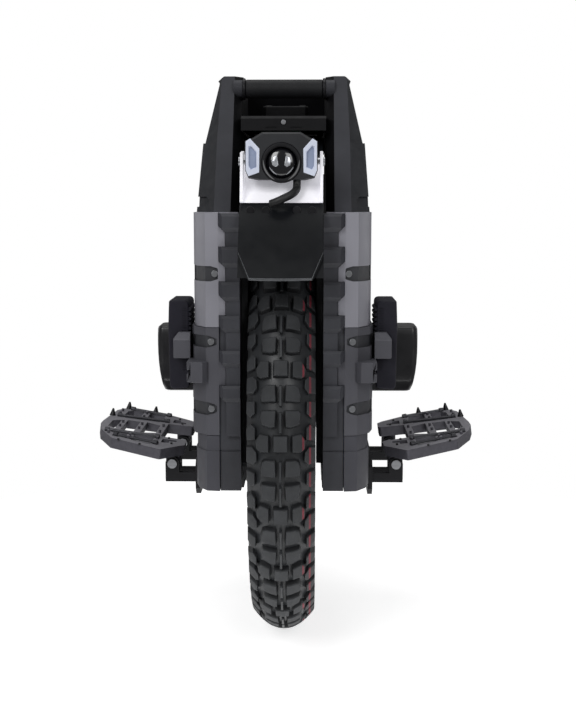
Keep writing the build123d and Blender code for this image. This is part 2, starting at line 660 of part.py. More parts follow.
def display_opening(top):
    (x, y), mid = GLASS_HALF, sum(POD_Y) / 2
    return block((-x, x), (mid - y, mid + y), (POD_TOP - GLASS_SUNK - GLASS_T, top))


def display_glass():
    return display_opening(POD_TOP - GLASS_SUNK)


def button(x):
    cap = rod_z(BUTTON_R, POD_TOP - BUTTON_STEM, POD_TOP + 2, x, sum(POD_Y) / 2)
    return fillet(cap.edges().sort_by(Axis.Z)[-1], 0.8)


def on_cowl(t, out):
    """A (y, z) point a share t down the cowl's rear face and out from it."""
    dy, dz = COWL_FOOT[0] - COWL_TOP[0], COWL_FOOT[1] - COWL_TOP[1]
    length = sqrt(dy * dy + dz * dz)
    return COWL_TOP[0] + t * dy - out * dz / length, COWL_TOP[1] + t * dz + out * dy / length


def rear_cowl():
    points = [on_cowl(0, 0), on_cowl(1, 0), on_cowl(0.98, -COWL_T), on_cowl(0.02, -COWL_T)]
    cowl = prism_x(points, -CAGE_X, CAGE_X)
    return cowl - charge_port_bodies(-3, 0)


def tail_light():
    return prism_x([on_cowl(0.22, 0), on_cowl(0.48, 0), on_cowl(0.46, 4), on_cowl(0.24, 4)], -32, 32)


def charge_port_bodies(low, high):
    y, z = on_cowl(0.74, (low + high) / 2)
    tilt = Rot(-degrees(atan2(COWL_TOP[1] - COWL_FOOT[1], COWL_FOOT[0] - COWL_TOP[0])), 0, 0)
    return Compound(children=[Pos(x, y, z) * tilt * Cylinder(PORT_R, high - low) for x in (-PORT_X, PORT_X)])


def charge_ports():
    return group([charge_port_bodies(-3, 4)])


def battery():
    x0, x1 = PLATE_X + PLATE_T + 1, UPPER_X - SKIN - 5
    z0, z1 = SEAMS_Z[0] + 8, SEAMS_Z[3] - 12
    y0, y1 = BLOCK_Y + 8, PLATE_Y - 5
    front = block((x0, x1), (-y1, -y0), (z0, z1))
    return chamfer(front.edges(), 4)


def batteries():
    front = battery()
    rear = mirror(front, about=Plane.XZ)
    return group([front, rear, mirrored(front), mirrored(rear)])


# ======================= pads ===========================================
def front_pad():
    x, y, z = FRONT_PAD
    outline = [(x[0], z[0] + 6), (x[0] + 6, z[0]), (x[1] - 5, z[0]), (x[1] - 1, z[0] + 5), (x[1], z[1] - 30),
               (x[1] - 1, z[1] - 4), (x[1] - 4, z[1]), (x[0] + 6, z[1]), (x[0], z[1] - 8)]
    return chamfer(prism_y(outline, *y).edges().group_by(Axis.Y)[0], 1.5)


def rear_pad():
    x, y, z = REAR_PAD
    outline = [(x[0], z[0]), (x[1] - 8, z[0]), (x[1] - 3, z[0] + 16), (x[1], z[0] + 34), (x[1], z[1] - 14),
               (x[1] - 12, z[1]), (x[0], z[1])]
    pad = prism_y(outline, *y)
    outer = pad.edges().filter_by(lambda e: e.center().X > x[0] + 2)
    return fillet(outer.filter_by(Axis.Y, reverse=True), 5)


def pad_mounts():
    """Plates that hold each pad off the middle cover."""
    x = (MIDDLE_X, FRONT_PAD[0][0])
    front = block(x, (FRONT_PAD[1][0] + 8, FRONT_PAD[1][1] - 8), (FRONT_PAD[2][0] + 10, FRONT_PAD[2][1] - 29))
    rear = block(x, (REAR_PAD[1][0] + 8, REAR_PAD[1][1] - 22), (REAR_PAD[2][0] + 8, REAR_PAD[2][1] - 8))
    return front + rear


def pad_clamp():
    """Block in front of the front pad, with a sloping top facet and a chamfered outer corner."""
    x0, x1 = FRONT_PAD[0][0], FRONT_PAD[0][1] - 7
    y0, (z0, z1) = FRONT_PAD[1][0], CLAMP_Z
    face, far = y0 - CLAMP_T, y0 - CLAMP_T - 1
    body = prism_x([(y0, z0), (face, z0), (face, z1 - 8), (face + 5, z1), (y0, z1)], x0, x1)
    body -= prism_y([(x1 - 6, z1 + 1), (x1 + 1, z1 + 1), (x1 + 1, z1 - 8)], far, y0 + 1)
    return body - prism_y([(x1 - 2, z0 - 1), (x1 + 1, z0 - 1), (x1 + 1, z0 + 2)], far, y0 + 1)


def pad_bracket():
    """A notched block on the middle cover's corner, under the clamp."""
    z0, z1 = BRACKET_Z
    body = block((MIDDLE_X - 19, MIDDLE_X + 3), (-BODY_Y - 6, -BODY_Y + 36), BRACKET_Z)
    body = chamfer(body.edges().filter_by(Axis.Z).group_by(Axis.Y)[0], 5)
    for inset in (0, SKIN):
        body -= prism_z(cover_outline(MIDDLE_X, inset), z0 - 1, z1 + 1)
    body -= block((MIDDLE_X - 1, FAR), (-FAR, 0), (z0 + 9, z0 + 13))
    return max(body.solids(), key=lambda s: s.volume)


# ======================= pedals =========================================
def deck(points, z0=-PEDAL_T, z1=0.0):
    """An outline in pedal coordinates: outwards from the arms' ends, then aft."""
    return prism_z(points, z0, z1)


def symmetric(points):
    return points + [(s, -y) for s, y in reversed(points)]


def beam_edge(outer_s):
    """How far forward the front beam's edge stands at a distance outwards."""
    (s0, y0), (s1, y1) = FRONT_BEAM
    return y0 + (y1 - y0) * (outer_s - s0) / (s1 - s0)


def pedal_body():
    inner, outer = ARM_Y - 17, ARM_Y + 16
    front = [(32, -38), (2, -inner), (0, -inner - 5), (0, 5 - outer), (6, -outer - 3), *FRONT_BEAM,
             (PEDAL_LEN - 6.5, -40), (PEDAL_LEN, -8)]
    rear = [(PEDAL_LEN, 10), (PEDAL_LEN - 5, 84), (PEDAL_LEN - 13, 102), (60, REAR_HALF), (30, 92),
            (6, outer + 3), (0, outer - 5), (0, inner + 5), (2, inner), (32, 38)]
    body = deck(front + rear)
    body = fillet(body.edges().filter_by(Axis.Z).filter_by(lambda e: abs(e.center().Y) > 30), 2.5)
    for sign in (-1, 1):
        slot = [(11, ARM_Y - 8), (28, ARM_Y - 8), (28, ARM_Y + 12), (19, ARM_Y + 10), (19, ARM_Y + 2), (11, ARM_Y)]
        body -= deck([(s, sign * y) for s, y in slot], -PEDAL_T - 1, 1)
        body -= block((44, 88), sorted((sign * 42, sign * 44.5)), (-2.5, 1))
    for s0, s1 in ((38, 62), (70, 86)):
        hole = [(s0, -49), (s1, -49), (s1, beam_edge(s1) + BEAM_WALL), (s0, beam_edge(s0) + BEAM_WALL)]
        body -= deck(hole, -PEDAL_T - 1, 1)
    for hole in ([(38, 49), (62, 49), (62, 93), (42, 87)], [(70, 49), (92, 49), (90, 86), (84, 93), (70, 94)]):
        body -= deck(hole, -PEDAL_T - 1, 1)
    for s0, s1, y0, y1 in ((40, 58, 22, 32), (66, 82, 30, 30), (89, 99, 26, 18)):
        body -= deck(symmetric([(s0, y0), (s1, y1)]), -PEDAL_T - 1, 1)
    pocket = deck(symmetric([(36, 36), (98, 36)]), -PEDAL_T - 1, -PEDAL_T + 3)
    return body - pocket


def pins():
    """Round pins on the pedal's deck, in pedal coordinates."""
    return Compound(children=[Pos(s, y, PIN_H / 2) * Cylinder(PIN_R, PIN_H) for s, y in PIN_PLACES])


def on_hinge(shape):
    """From pedal coordinates to the right-hand pedal's place."""
    return Pos(PEDAL_X, PEDAL_Y, PEDAL_TOP_Z) * Rot(0, -PEDAL_RISE, 0) * shape


def knuckles():
    """Ears under both arms, and the metal between ear and deck."""
    pieces = []
    for sign in (-1, 1):
        y = PEDAL_Y + sign * ARM_Y
        ear = rod_y(KNUCKLE_R, y - KNUCKLE_HALF, y + KNUCKLE_HALF, HINGE_X, HINGE_Z)
        top = PEDAL_TOP_Z + (HINGE_X - PEDAL_X) * tan(radians(PEDAL_RISE)) - 4
        neck = block((HINGE_X - KNUCKLE_R + 1, HINGE_X + KNUCKLE_R), (y - KNUCKLE_HALF, y + KNUCKLE_HALF),
                     (HINGE_Z, top))
        pieces.append(ear + neck)
    return pieces


def pedal():
    body = on_hinge(pedal_body() + pins())
    for ear in knuckles():
        body += ear
    return body - rod_y(HINGE_R + RUN_FIT, -FAR, FAR, HINGE_X, HINGE_Z)


def pedal_spikes():
    """Conical spikes on the pedal's outer edge."""
    spike = Pos(0, 0, SPIKE_H / 2) * Cone(SPIKE_R, SPIKE_R / 4, SPIKE_H)
    return group([on_hinge(Pos(s, y, 0) * spike) for s, y in SPIKE_PLACES])


def hanger():
    y0, y1 = PEDAL_Y - HANGER_HALF, PEDAL_Y + HANGER_HALF
    plate = block(HANGER_X, (y0, y1), HANGER_Z)
    plate = chamfer(plate.edges().filter_by(Axis.X), 8)
    spacer = block((PLATE_X, HANGER_X[0]), (y0 + 20, y1 - 20), (PLATE_Z[0] - SPACER_T, PLATE_Z[0]))
    for sign in (-1, 1):
        y = PEDAL_Y + sign * ARM_Y
        for side in (-1, 1):
            near = KNUCKLE_HALF + LUG_FIT
            a, b = sorted((y + side * near, y + side * (near + LUG_T)))
            drop = KNUCKLE_R + 2.5
            arm = block((HANGER_X[1], HINGE_X + KNUCKLE_R), (a, b), (HINGE_Z - drop - 11, HINGE_Z - drop))
            post = block((HINGE_X - KNUCKLE_R, HINGE_X + KNUCKLE_R), (a, b), (HINGE_Z - drop, HINGE_Z))
            plate += arm + post + rod_y(KNUCKLE_R, a, b, HINGE_X, HINGE_Z)
    plate += spacer
    plate -= rod_y(HINGE_R, -FAR, FAR, HINGE_X, HINGE_Z)
    for y, z in hanger_screw_places():
        plate -= rod_x(HANGER_SCREW_R, HANGER_X[0] - 1, HANGER_X[1] + 1, y, z)
    return plate


def hanger_screw_places():
    return [(PEDAL_Y + i * HANGER_SCREW_PITCH, HANGER_Z[0] + 12) for i in (-1, 0, 1)]


def hinge_pins():
    reach = KNUCKLE_HALF + LUG_T + 3
    pins = []
    for sign in (-1, 1):
        y = PEDAL_Y + sign * ARM_Y
        pin = rod_y(HINGE_R, y - reach, y + reach, HINGE_X, HINGE_Z)
        head = rod_y(HINGE_R + 1.5, y - reach, y - reach + 2, HINGE_X, HINGE_Z)
        pins.append(pin + head)
    return group([group(pins), mirrored(group(pins))])


# ======================= headlight ======================================
def lamp_face(scale, lift, y):
    """The headlight's front outline, shrunk about the lens and lifted, standing at y."""
    right = [(x * scale, LENS_Z + z * scale + lift) for x, z in LAMP_OUTLINE]
    points = right + [(-x, z) for x, z in reversed(right)]
    return Pos(0, y, 0) * (Plane.XZ * Polygon(*points, align=None))


def headlight_housing():
    front = loft([lamp_face(0.94, 0, LAMP_Y), lamp_face(1.0, 0, LAMP_Y + 4)], ruled=True)
    body = front + loft([lamp_face(1.0, 0, LAMP_Y + 4), lamp_face(0.98, 1, LAMP_Y + 20)], ruled=True)
    body += loft([lamp_face(0.98, 1, LAMP_Y + 20), lamp_face(0.62, 12, LAMP_Y + 52)], ruled=True)
    belly = [(24, -35), (24, -14), (60, 23), (60, -35)]
    body -= prism_x([(LAMP_Y + y, LENS_Z + z) for y, z in belly], -FAR, FAR)
    body -= rod_y(RING_R, LAMP_Y - 1, LAMP_Y + RING_DEEP, 0, LENS_Z)
    for pin in tilt_pins(RUN_FIT):
        body -= pin
    for strip in running_strip(0):
        body -= strip
    return body


def tilt_pins(extra=0.0):
    pin = rod_x(TILT_PIN_R + extra, LAMP_X - 8 - extra, FLANGE_X + FLANGE_T, TILT_Y, TILT_Z)
    return [pin, mirrored(pin)]


def bracket_screws():
    head = rod_x(TILT_PIN_R + 1.8, FLANGE_X + FLANGE_T, FLANGE_X + FLANGE_T + 2, TILT_Y, TILT_Z)
    screw = tilt_pins()[0] + head
    return both(screw)


def bezel():
    ring = rod_y(RING_R, LAMP_Y - 0.5, LAMP_Y + RING_DEEP, 0, LENS_Z)
    ring -= rod_y(LENS_R, LAMP_Y - 2, LAMP_Y + RING_DEEP + 1, 0, LENS_Z)
    return chamfer(ring.edges().sort_by(Axis.Y)[:2], 1.2)


def lens():
    """The domed glass, its crown level with the lamp's face."""
    glass = rod_y(LENS_R, LAMP_Y, LAMP_Y + RING_DEEP, 0, LENS_Z)
    return glass & Pos(0, LAMP_Y + LENS_CURVE, LENS_Z) * Sphere(LENS_CURVE)


def level_with_lens(points):
    return [(x, LENS_Z + z) for x, z in points]


def running_strip(proud):
    right = prism_y(level_with_lens(STRIP), LAMP_Y - proud, LAMP_Y + 6)
    return [right, mirrored(right)]


def running_lights():
    return both(running_strip(0.8)[0] - prism_y(level_with_lens(DISH), LAMP_Y - 5, LAMP_Y + 2.5))


def headlight_bracket():
    x, seat_r = FLANGE_X + FLANGE_T, SKIN_R + BRACKET_GAP
    plate = ring_x(seat_r + BRACKET_T, seat_r, -x, x, WELL_Z)
    plate &= block((-x, x), (-FAR, 0), (FENDER_TOP_Z + 2, LENS_Z + 7))
    flange_points = [(LAMP_Y - 1, FENDER_TOP_Z + 3), (LAMP_Y + 5, FENDER_TOP_Z + 2), (LAMP_Y + 49, LENS_Z - 5),
                     (LAMP_Y + 55, LENS_Z + 7), (LAMP_Y + 35, LENS_Z + 13), (TILT_Y - 8, TILT_Z + 9),
                     (TILT_Y - 9, TILT_Z - 4)]
    flange = prism_x(flange_points, FLANGE_X, x)
    flange -= rod_x(seat_r, 0, FAR, 0, WELL_Z)
    bracket = plate + flange + mirrored(flange)
    for pin in tilt_pins():
        bracket -= pin
    return bracket


def headlight_cable():
    path = FilletPolyline(*CABLE, radius=[8, 9, 12, 8])
    return sweep(Plane(origin=path @ 0, z_dir=path % 0) * Circle(CABLE_R), path=path)


# ======================= fasteners ======================================
def body_screws():
    sides = pocket_screws()
    sides += [rod_x(HANGER_SCREW_R, HANGER_X[0], HANGER_X[1] + 2, y, z) for y, z in hanger_screw_places()]
    return group(sides + [mirrored(s) for s in sides] + fender_screws() + [case_screw()])


def write(name, shape):
    export_step(group([shape]), os.path.join("parts", name + ".step"))


def build():
    """Every node of the unicycle, by name."""
    right = {"cage": cage(), "upper_cover": upper_cover(), "middle_cover": middle_cover(),
             "front_bumper": bumper(), "front_pad": front_pad(), "pedal": pedal(), "pedal_spikes": pedal_spikes()}
    nodes = {}
    for name, shape in right.items():
        nodes[name + "_right"] = shape
        nodes[name + "_left"] = mirrored(shape)
    blocks = axle_block()
    rear_bumper = mirror(bumper(), about=Plane.XZ)
    nodes.update({
        "tyre": tyre(),
        "rim": rim(),
        "rotor_magnets": magnets(),
        "motor_covers": both(motor_cover()),
        "motor_screws": motor_screws(),
        "wheel_bearings": both(bearing()),
        "axle": axle(),
        "stator": stator(),
        "stator_windings": windings(),
        "axle_blocks": group([both(b) for b in blocks]),
        "shock_shafts": both(shock_shaft()),
        "shock_bodies": both(shock_body()),
        "shock_springs": both(spring()),
        "guide_rods": guide_rods(),
        "side_plates": both(side_plate()),
        "wheel_well": wheel_well(),
        "front_fender": fender(-1),
        "rear_fender": fender(1),
        "handle_bar": handle_bar(),
        "handle_grip": handle_grip(),
        "handle_collars": both(handle_collar()),
        "controller_case": controller_case(),
        "controller_board": controller_board(),
        "display_pod": display_pod(),
        "display_glass": display_glass(),
        "power_button": button(-BUTTON_X),
        "light_button": button(BUTTON_X),
        "rear_cowl": rear_cowl(),
        "tail_light": tail_light(),
        "charge_ports": charge_ports(),
        "battery_packs": batteries(),
        "lower_covers": both(lower_cover()),
        "rear_bumpers": both(rear_bumper),
        "rear_pads": both(rear_pad()),
        "pad_clamps": both(pad_clamp()),
        "pad_brackets": group([both(pad_bracket()), both(pad_mounts())]),
        "pedal_hangers": both(hanger()),
        "hinge_pins": hinge_pins(),
        "headlight_housing": headlight_housing(),
        "headlight_bezel": bezel(),
        "headlight_lens": lens(),
        "running_lights": running_lights(),
        "headlight_bracket": headlight_bracket(),
        "bracket_screws": bracket_screws(),
        "headlight_cable": headlight_cable(),
        "body_screws": body_screws(),
    })
    return nodes


os.makedirs("parts", exist_ok=True)
for node_name, node_shape in build().items():
    write(node_name, node_shape)
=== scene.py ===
import json
from math import cos, pi, radians, sin, sqrt

import bmesh
import bpy
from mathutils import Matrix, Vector


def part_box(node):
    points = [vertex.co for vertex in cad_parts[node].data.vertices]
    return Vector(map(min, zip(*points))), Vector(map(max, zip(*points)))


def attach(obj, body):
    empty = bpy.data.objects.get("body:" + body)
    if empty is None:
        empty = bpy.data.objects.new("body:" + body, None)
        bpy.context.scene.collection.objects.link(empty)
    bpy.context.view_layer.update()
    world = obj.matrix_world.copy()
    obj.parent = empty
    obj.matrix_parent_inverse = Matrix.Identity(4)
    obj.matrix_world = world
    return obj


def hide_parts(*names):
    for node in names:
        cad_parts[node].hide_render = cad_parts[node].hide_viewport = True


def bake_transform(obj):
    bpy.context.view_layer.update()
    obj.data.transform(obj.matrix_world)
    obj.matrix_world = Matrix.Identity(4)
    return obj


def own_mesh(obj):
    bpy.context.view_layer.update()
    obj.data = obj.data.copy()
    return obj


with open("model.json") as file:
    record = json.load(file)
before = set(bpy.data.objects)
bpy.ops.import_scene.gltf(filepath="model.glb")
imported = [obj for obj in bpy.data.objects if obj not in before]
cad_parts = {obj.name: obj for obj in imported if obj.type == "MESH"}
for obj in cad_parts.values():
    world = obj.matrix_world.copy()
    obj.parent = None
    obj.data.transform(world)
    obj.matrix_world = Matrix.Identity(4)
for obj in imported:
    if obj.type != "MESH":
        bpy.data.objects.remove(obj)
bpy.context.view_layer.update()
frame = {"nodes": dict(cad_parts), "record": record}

# Lengths in this script are millimetres in the row frame and are scaled to
# metres when a mesh is made.  Front faces -Y, right side +X, ground at Z 0.
MM = 0.001


# ======================= sizes read from the frame ======================
def cad_range(node):
    """((x0, x1), (y0, y1), (z0, z1)) of a CAD node in millimetres."""
    low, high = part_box(node)
    return tuple((a / MM, b / MM) for a, b in zip(low, high))


TYRE_X, _, TYRE_Z = cad_range("tyre")
TYRE_R = (TYRE_Z[1] - TYRE_Z[0]) / 2
TYRE_HALF = TYRE_X[1]
AXLE_Z = (TYRE_Z[0] + TYRE_Z[1]) / 2
RIM_Z = cad_range("rim")[2]
RIM_R = (RIM_Z[1] - RIM_Z[0]) / 2
LENS_X, LENS_Y, LENS_Z = cad_range("headlight_lens")
BEZEL_X, BEZEL_Y, _ = cad_range("headlight_bezel")
SUSPENSION = next(joint for joint in frame["record"]["behaviour"]["joints"] if joint["name"] == "suspension")
TRAVEL = SUSPENSION["range_m"][1] / MM      # how far the suspension lifts the wheel


# ======================= mesh tools =====================================
class Shape:
    """Corners and faces of one piece, gathered in millimetres."""

    def __init__(self):
        self.verts, self.faces, self.marks = [], [], []

    def add(self, verts, faces, mark=0):
        start = len(self.verts)
        self.verts += [tuple(v) for v in verts]
        self.faces += [[start + i for i in face] for face in faces]
        self.marks += [mark] * len(faces)

    def loft(self, rings, mark=0, ends=(True, True), closed=True, end_mark=None):
        """Quads between rings of the same number of points, with flat ends."""
        n = len(rings[0])
        verts = [p for ring in rings for p in ring]
        faces = []
        for r in range(len(rings) - 1):
            for i in range(n if closed else n - 1):
                j = (i + 1) % n
                faces.append([r * n + i, r * n + j, (r + 1) * n + j, (r + 1) * n + i])
        caps = []
        if ends[0]:
            caps.append(list(reversed(range(n))))
        if ends[1]:
            caps.append([(len(rings) - 1) * n + i for i in range(n)])
        start = len(self.verts)
        self.add(verts, faces, mark)
        for cap in caps:
            self.faces.append([start + i for i in cap])
            self.marks.append(mark if end_mark is None else end_mark)

    def mirror_x(self):
        """The same piece on the other side of the wheel."""
        other = Shape()
        other.verts = [(-x, y, z) for x, y, z in self.verts]
        other.faces = [list(reversed(face)) for face in self.faces]
        other.marks = list(self.marks)
        return other

    def both_sides(self):
        """Adds the mirror image to the piece."""
        other = self.mirror_x()
        self.add(other.verts, other.faces)


def inset(points, d):
    """A closed outline moved inwards by d; points run anticlockwise."""
    out = []
    n = len(points)
    for i in range(n):
        a, b, c = (Vector(points[(i + k) % n]) for k in (-1, 0, 1))
        e, f = (b - a).normalized(), (c - b).normalized()
        bisector = Vector((-(e.y + f.y), e.x + f.x))
        length = max(bisector.length, 0.3)
        bisector /= length
        cosine = max(bisector.dot(Vector((-f.y, f.x))), 0.5)
        out.append(tuple(b + bisector * d / cosine))
    return out


CREASE = radians(28)            # edges sharper than this are rounded


def polish(obj, bevel=0.0, smooth=35):
    """Rounds the edges, applies it, and sets soft and sharp edges by their angle."""
    if bevel:
        mod = obj.modifiers.new("edges", "BEVEL")
        mod.width = bevel * MM
        mod.segments = 2
        mod.limit_method = "ANGLE"
        mod.angle_limit = CREASE
        mod.use_clamp_overlap = True
        apply_modifiers(obj)
    obj.data.shade_smooth()
    obj.data.set_sharp_from_angle(angle=radians(smooth))
    mod = obj.modifiers.new("normals", "WEIGHTED_NORMAL")
    mod.keep_sharp = True
    apply_modifiers(obj)


def apply_modifiers(obj):
    graph = bpy.context.evaluated_depsgraph_get()
    mesh = bpy.data.meshes.new_from_object(obj.evaluated_get(graph))
    mesh.name = obj.name
    obj.modifiers.clear()
    obj.data = mesh


def piece(name, shape, materials, body, bevel=0.0, smooth=35, stands_for=(), blended=False):
    """A new piece with a material slot. It rides on a body, unless it is to be blended."""
    mesh = bpy.data.meshes.new(name)
    mesh.from_pydata([Vector(v) * MM for v in shape.verts], [], shape.faces)
    for mat in materials:
        mesh.materials.append(mat)
    mesh.polygons.foreach_set("material_index", shape.marks)
    obj = bpy.data.objects.new(name, mesh)
    bpy.context.scene.collection.objects.link(obj)
    bm = bmesh.new()
    bm.from_mesh(mesh)
    bmesh.ops.remove_doubles(bm, verts=bm.verts, dist=1e-6)
    bmesh.ops.recalc_face_normals(bm, faces=bm.faces)
    bm.to_mesh(mesh)
    bm.free()
    polish(obj, bevel, smooth)
    if not blended:
        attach(obj, body)
    if stands_for:
        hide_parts(*stands_for)
    return obj


BODIES = frame["record"]["behaviour"]["bodies"]
BODY_OF = {node: body for body, nodes in BODIES.items() for node in nodes}


def finished(node, material, bevel=0.6, smooth=35, others=()):
    """A CAD part's own shape with rounded edges and its material, standing for that node.
    Each of the others is a material and the test that a face passes to get it."""
    source = frame["nodes"][node]
    bm = bmesh.new()
    bm.from_mesh(source.data)
    bmesh.ops.remove_doubles(bm, verts=bm.verts, dist=2e-6)
    bmesh.ops.dissolve_limit(bm, angle_limit=radians(0.6), verts=bm.verts, edges=bm.edges)
    mesh = bpy.data.meshes.new(node + "_finished")
    bm.to_mesh(mesh)
    bm.free()
    if "custom_normal" in mesh.attributes:
        mesh.attributes.remove(mesh.attributes["custom_normal"])
    mesh.materials.clear()
    mesh.materials.append(material)
    marks = [0] * len(mesh.polygons)
    for i, (extra, where) in enumerate(others, 1):
        mesh.materials.append(extra)
        marks = [i if where(face.center / MM, face.normal) else mark
                 for mark, face in zip(marks, mesh.polygons)]
    mesh.polygons.foreach_set("material_index", marks)
    obj = bpy.data.objects.new(node + "_finished", mesh)
    bpy.context.scene.collection.objects.link(obj)
    polish(obj, bevel, smooth)
    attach(obj, BODY_OF[node])
    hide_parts(node)
    return obj


# ======================= materials ======================================
def new_material(name):
    mat = bpy.data.materials.new(name)
    mat.use_nodes = True
    return mat, mat.node_tree.nodes, mat.node_tree.links, mat.node_tree.nodes["Principled BSDF"]


def noise(nodes, links, coords, scale, detail=3.0, rough=0.55):
    node = nodes.new("ShaderNodeTexNoise")
    node.inputs["Scale"].default_value = scale
    node.inputs["Detail"].default_value = detail
    node.inputs["Roughness"].default_value = rough
    links.new(coords, node.inputs["Vector"])
    return node


def spread(nodes, links, value, low, high):
    """A noise value stretched to the range low to high."""
    node = nodes.new("ShaderNodeMapRange")
    node.inputs["From Min"].default_value = 0.3
    node.inputs["From Max"].default_value = 0.7
    node.inputs["To Min"].default_value = low
    node.inputs["To Max"].default_value = high
    links.new(value, node.inputs["Value"])
    return node.outputs["Result"]


def mixed(nodes, links, factor, a, b):
    """Colour a where factor is 0 and b where it is 1; a and b are colours or sockets."""
    node = nodes.new("ShaderNodeMix")
    node.data_type = "RGBA"
    links.new(factor, node.inputs["Factor"])
    for key, value in (("A", a), ("B", b)):
        socket = [s for s in node.inputs if s.name == key and s.type == "RGBA"][0]
        if isinstance(value, tuple):
            socket.default_value = (*value, 1.0)
        else:
            links.new(value, socket)
    return [s for s in node.outputs if s.type == "RGBA"][0]


def surface(name, colour, roughness, metallic=0.0, mottle=0.12, mottle_scale=30.0, grain=0.04,
            grain_scale=900.0, spread_rough=0.06, coat=0.0, specular=0.5, stretch=(1, 1, 1)):
    """A finish with uneven colour, uneven gloss and a fine moulded or blasted grain."""
    mat, nodes, links, shader = new_material(name)
    where = nodes.new("ShaderNodeTexCoord")
    mapping = nodes.new("ShaderNodeMapping")
    mapping.inputs["Scale"].default_value = stretch
    links.new(where.outputs["Object"], mapping.inputs["Vector"])
    coords = mapping.outputs["Vector"]
    broad = noise(nodes, links, coords, mottle_scale)
    dark = tuple(c * (1 - mottle) for c in colour)
    light = tuple(min(1.0, c * (1 + mottle)) for c in colour)
    factor = spread(nodes, links, broad.outputs["Fac"], 0.0, 1.0)
    links.new(mixed(nodes, links, factor, dark, light), shader.inputs["Base Color"])
    fine = noise(nodes, links, coords, grain_scale, 2.0)
    smudge = noise(nodes, links, coords, mottle_scale * 2.7, 4.0, 0.65)
    rough = spread(nodes, links, smudge.outputs["Fac"], roughness - spread_rough,
                   roughness + spread_rough)
    links.new(rough, shader.inputs["Roughness"])
    bump = nodes.new("ShaderNodeBump")
    bump.inputs["Strength"].default_value = 0.6
    bump.inputs["Distance"].default_value = grain * MM
    links.new(fine.outputs["Fac"], bump.inputs["Height"])
    links.new(bump.outputs["Normal"], shader.inputs["Normal"])
    shader.inputs["Metallic"].default_value = metallic
    shader.inputs["Specular IOR Level"].default_value = specular
    shader.inputs["Coat Weight"].default_value = coat
    shader.inputs["Coat Roughness"].default_value = 0.15
    return mat


RED_LINES = ((22.3, 24.3), (29.2, 31.3))    # across the tyre, in mm from the wheel's plane
LINE_RED = (0.24, 0.018, 0.035)


def tread_material():
    """Knob tops: worn rubber with two broken red lines painted round the right shoulder."""
    mat = surface("tread_rubber", (0.025, 0.027, 0.030), 0.66, mottle=0.2, mottle_scale=60, grain=0.12,
                  grain_scale=700)
    nodes, links = mat.node_tree.nodes, mat.node_tree.links
    shader = nodes["Principled BSDF"]
    where = nodes.new("ShaderNodeTexCoord")
    split = nodes.new("ShaderNodeSeparateXYZ")
    links.new(where.outputs["Object"], split.inputs["Vector"])
    lines = []
    for low, high in RED_LINES:
        inside = nodes.new("ShaderNodeMath")
        inside.operation = "COMPARE"
        links.new(split.outputs["X"], inside.inputs[0])
        inside.inputs[1].default_value = (low + high) / 2 * MM
        inside.inputs[2].default_value = (high - low) / 2 * MM
        lines.append(inside.outputs["Value"])
    either = nodes.new("ShaderNodeMath")
    either.operation = "MAXIMUM"
    links.new(lines[0], either.inputs[0])
    links.new(lines[1], either.inputs[1])
    worn = noise(nodes, links, where.outputs["Object"], 190.0, 3.0, 0.7)
    cover = spread(nodes, links, worn.outputs["Fac"], 0.35, 0.95)
    paint = nodes.new("ShaderNodeMath")
    paint.operation = "MULTIPLY"
    links.new(either.outputs["Value"], paint.inputs[0])
    links.new(cover, paint.inputs[1])
    base = shader.inputs["Base Color"].links[0].from_socket
    painted = mixed(nodes, links, paint.outputs["Value"], base, LINE_RED)
    links.new(painted, shader.inputs["Base Color"])
    return mat


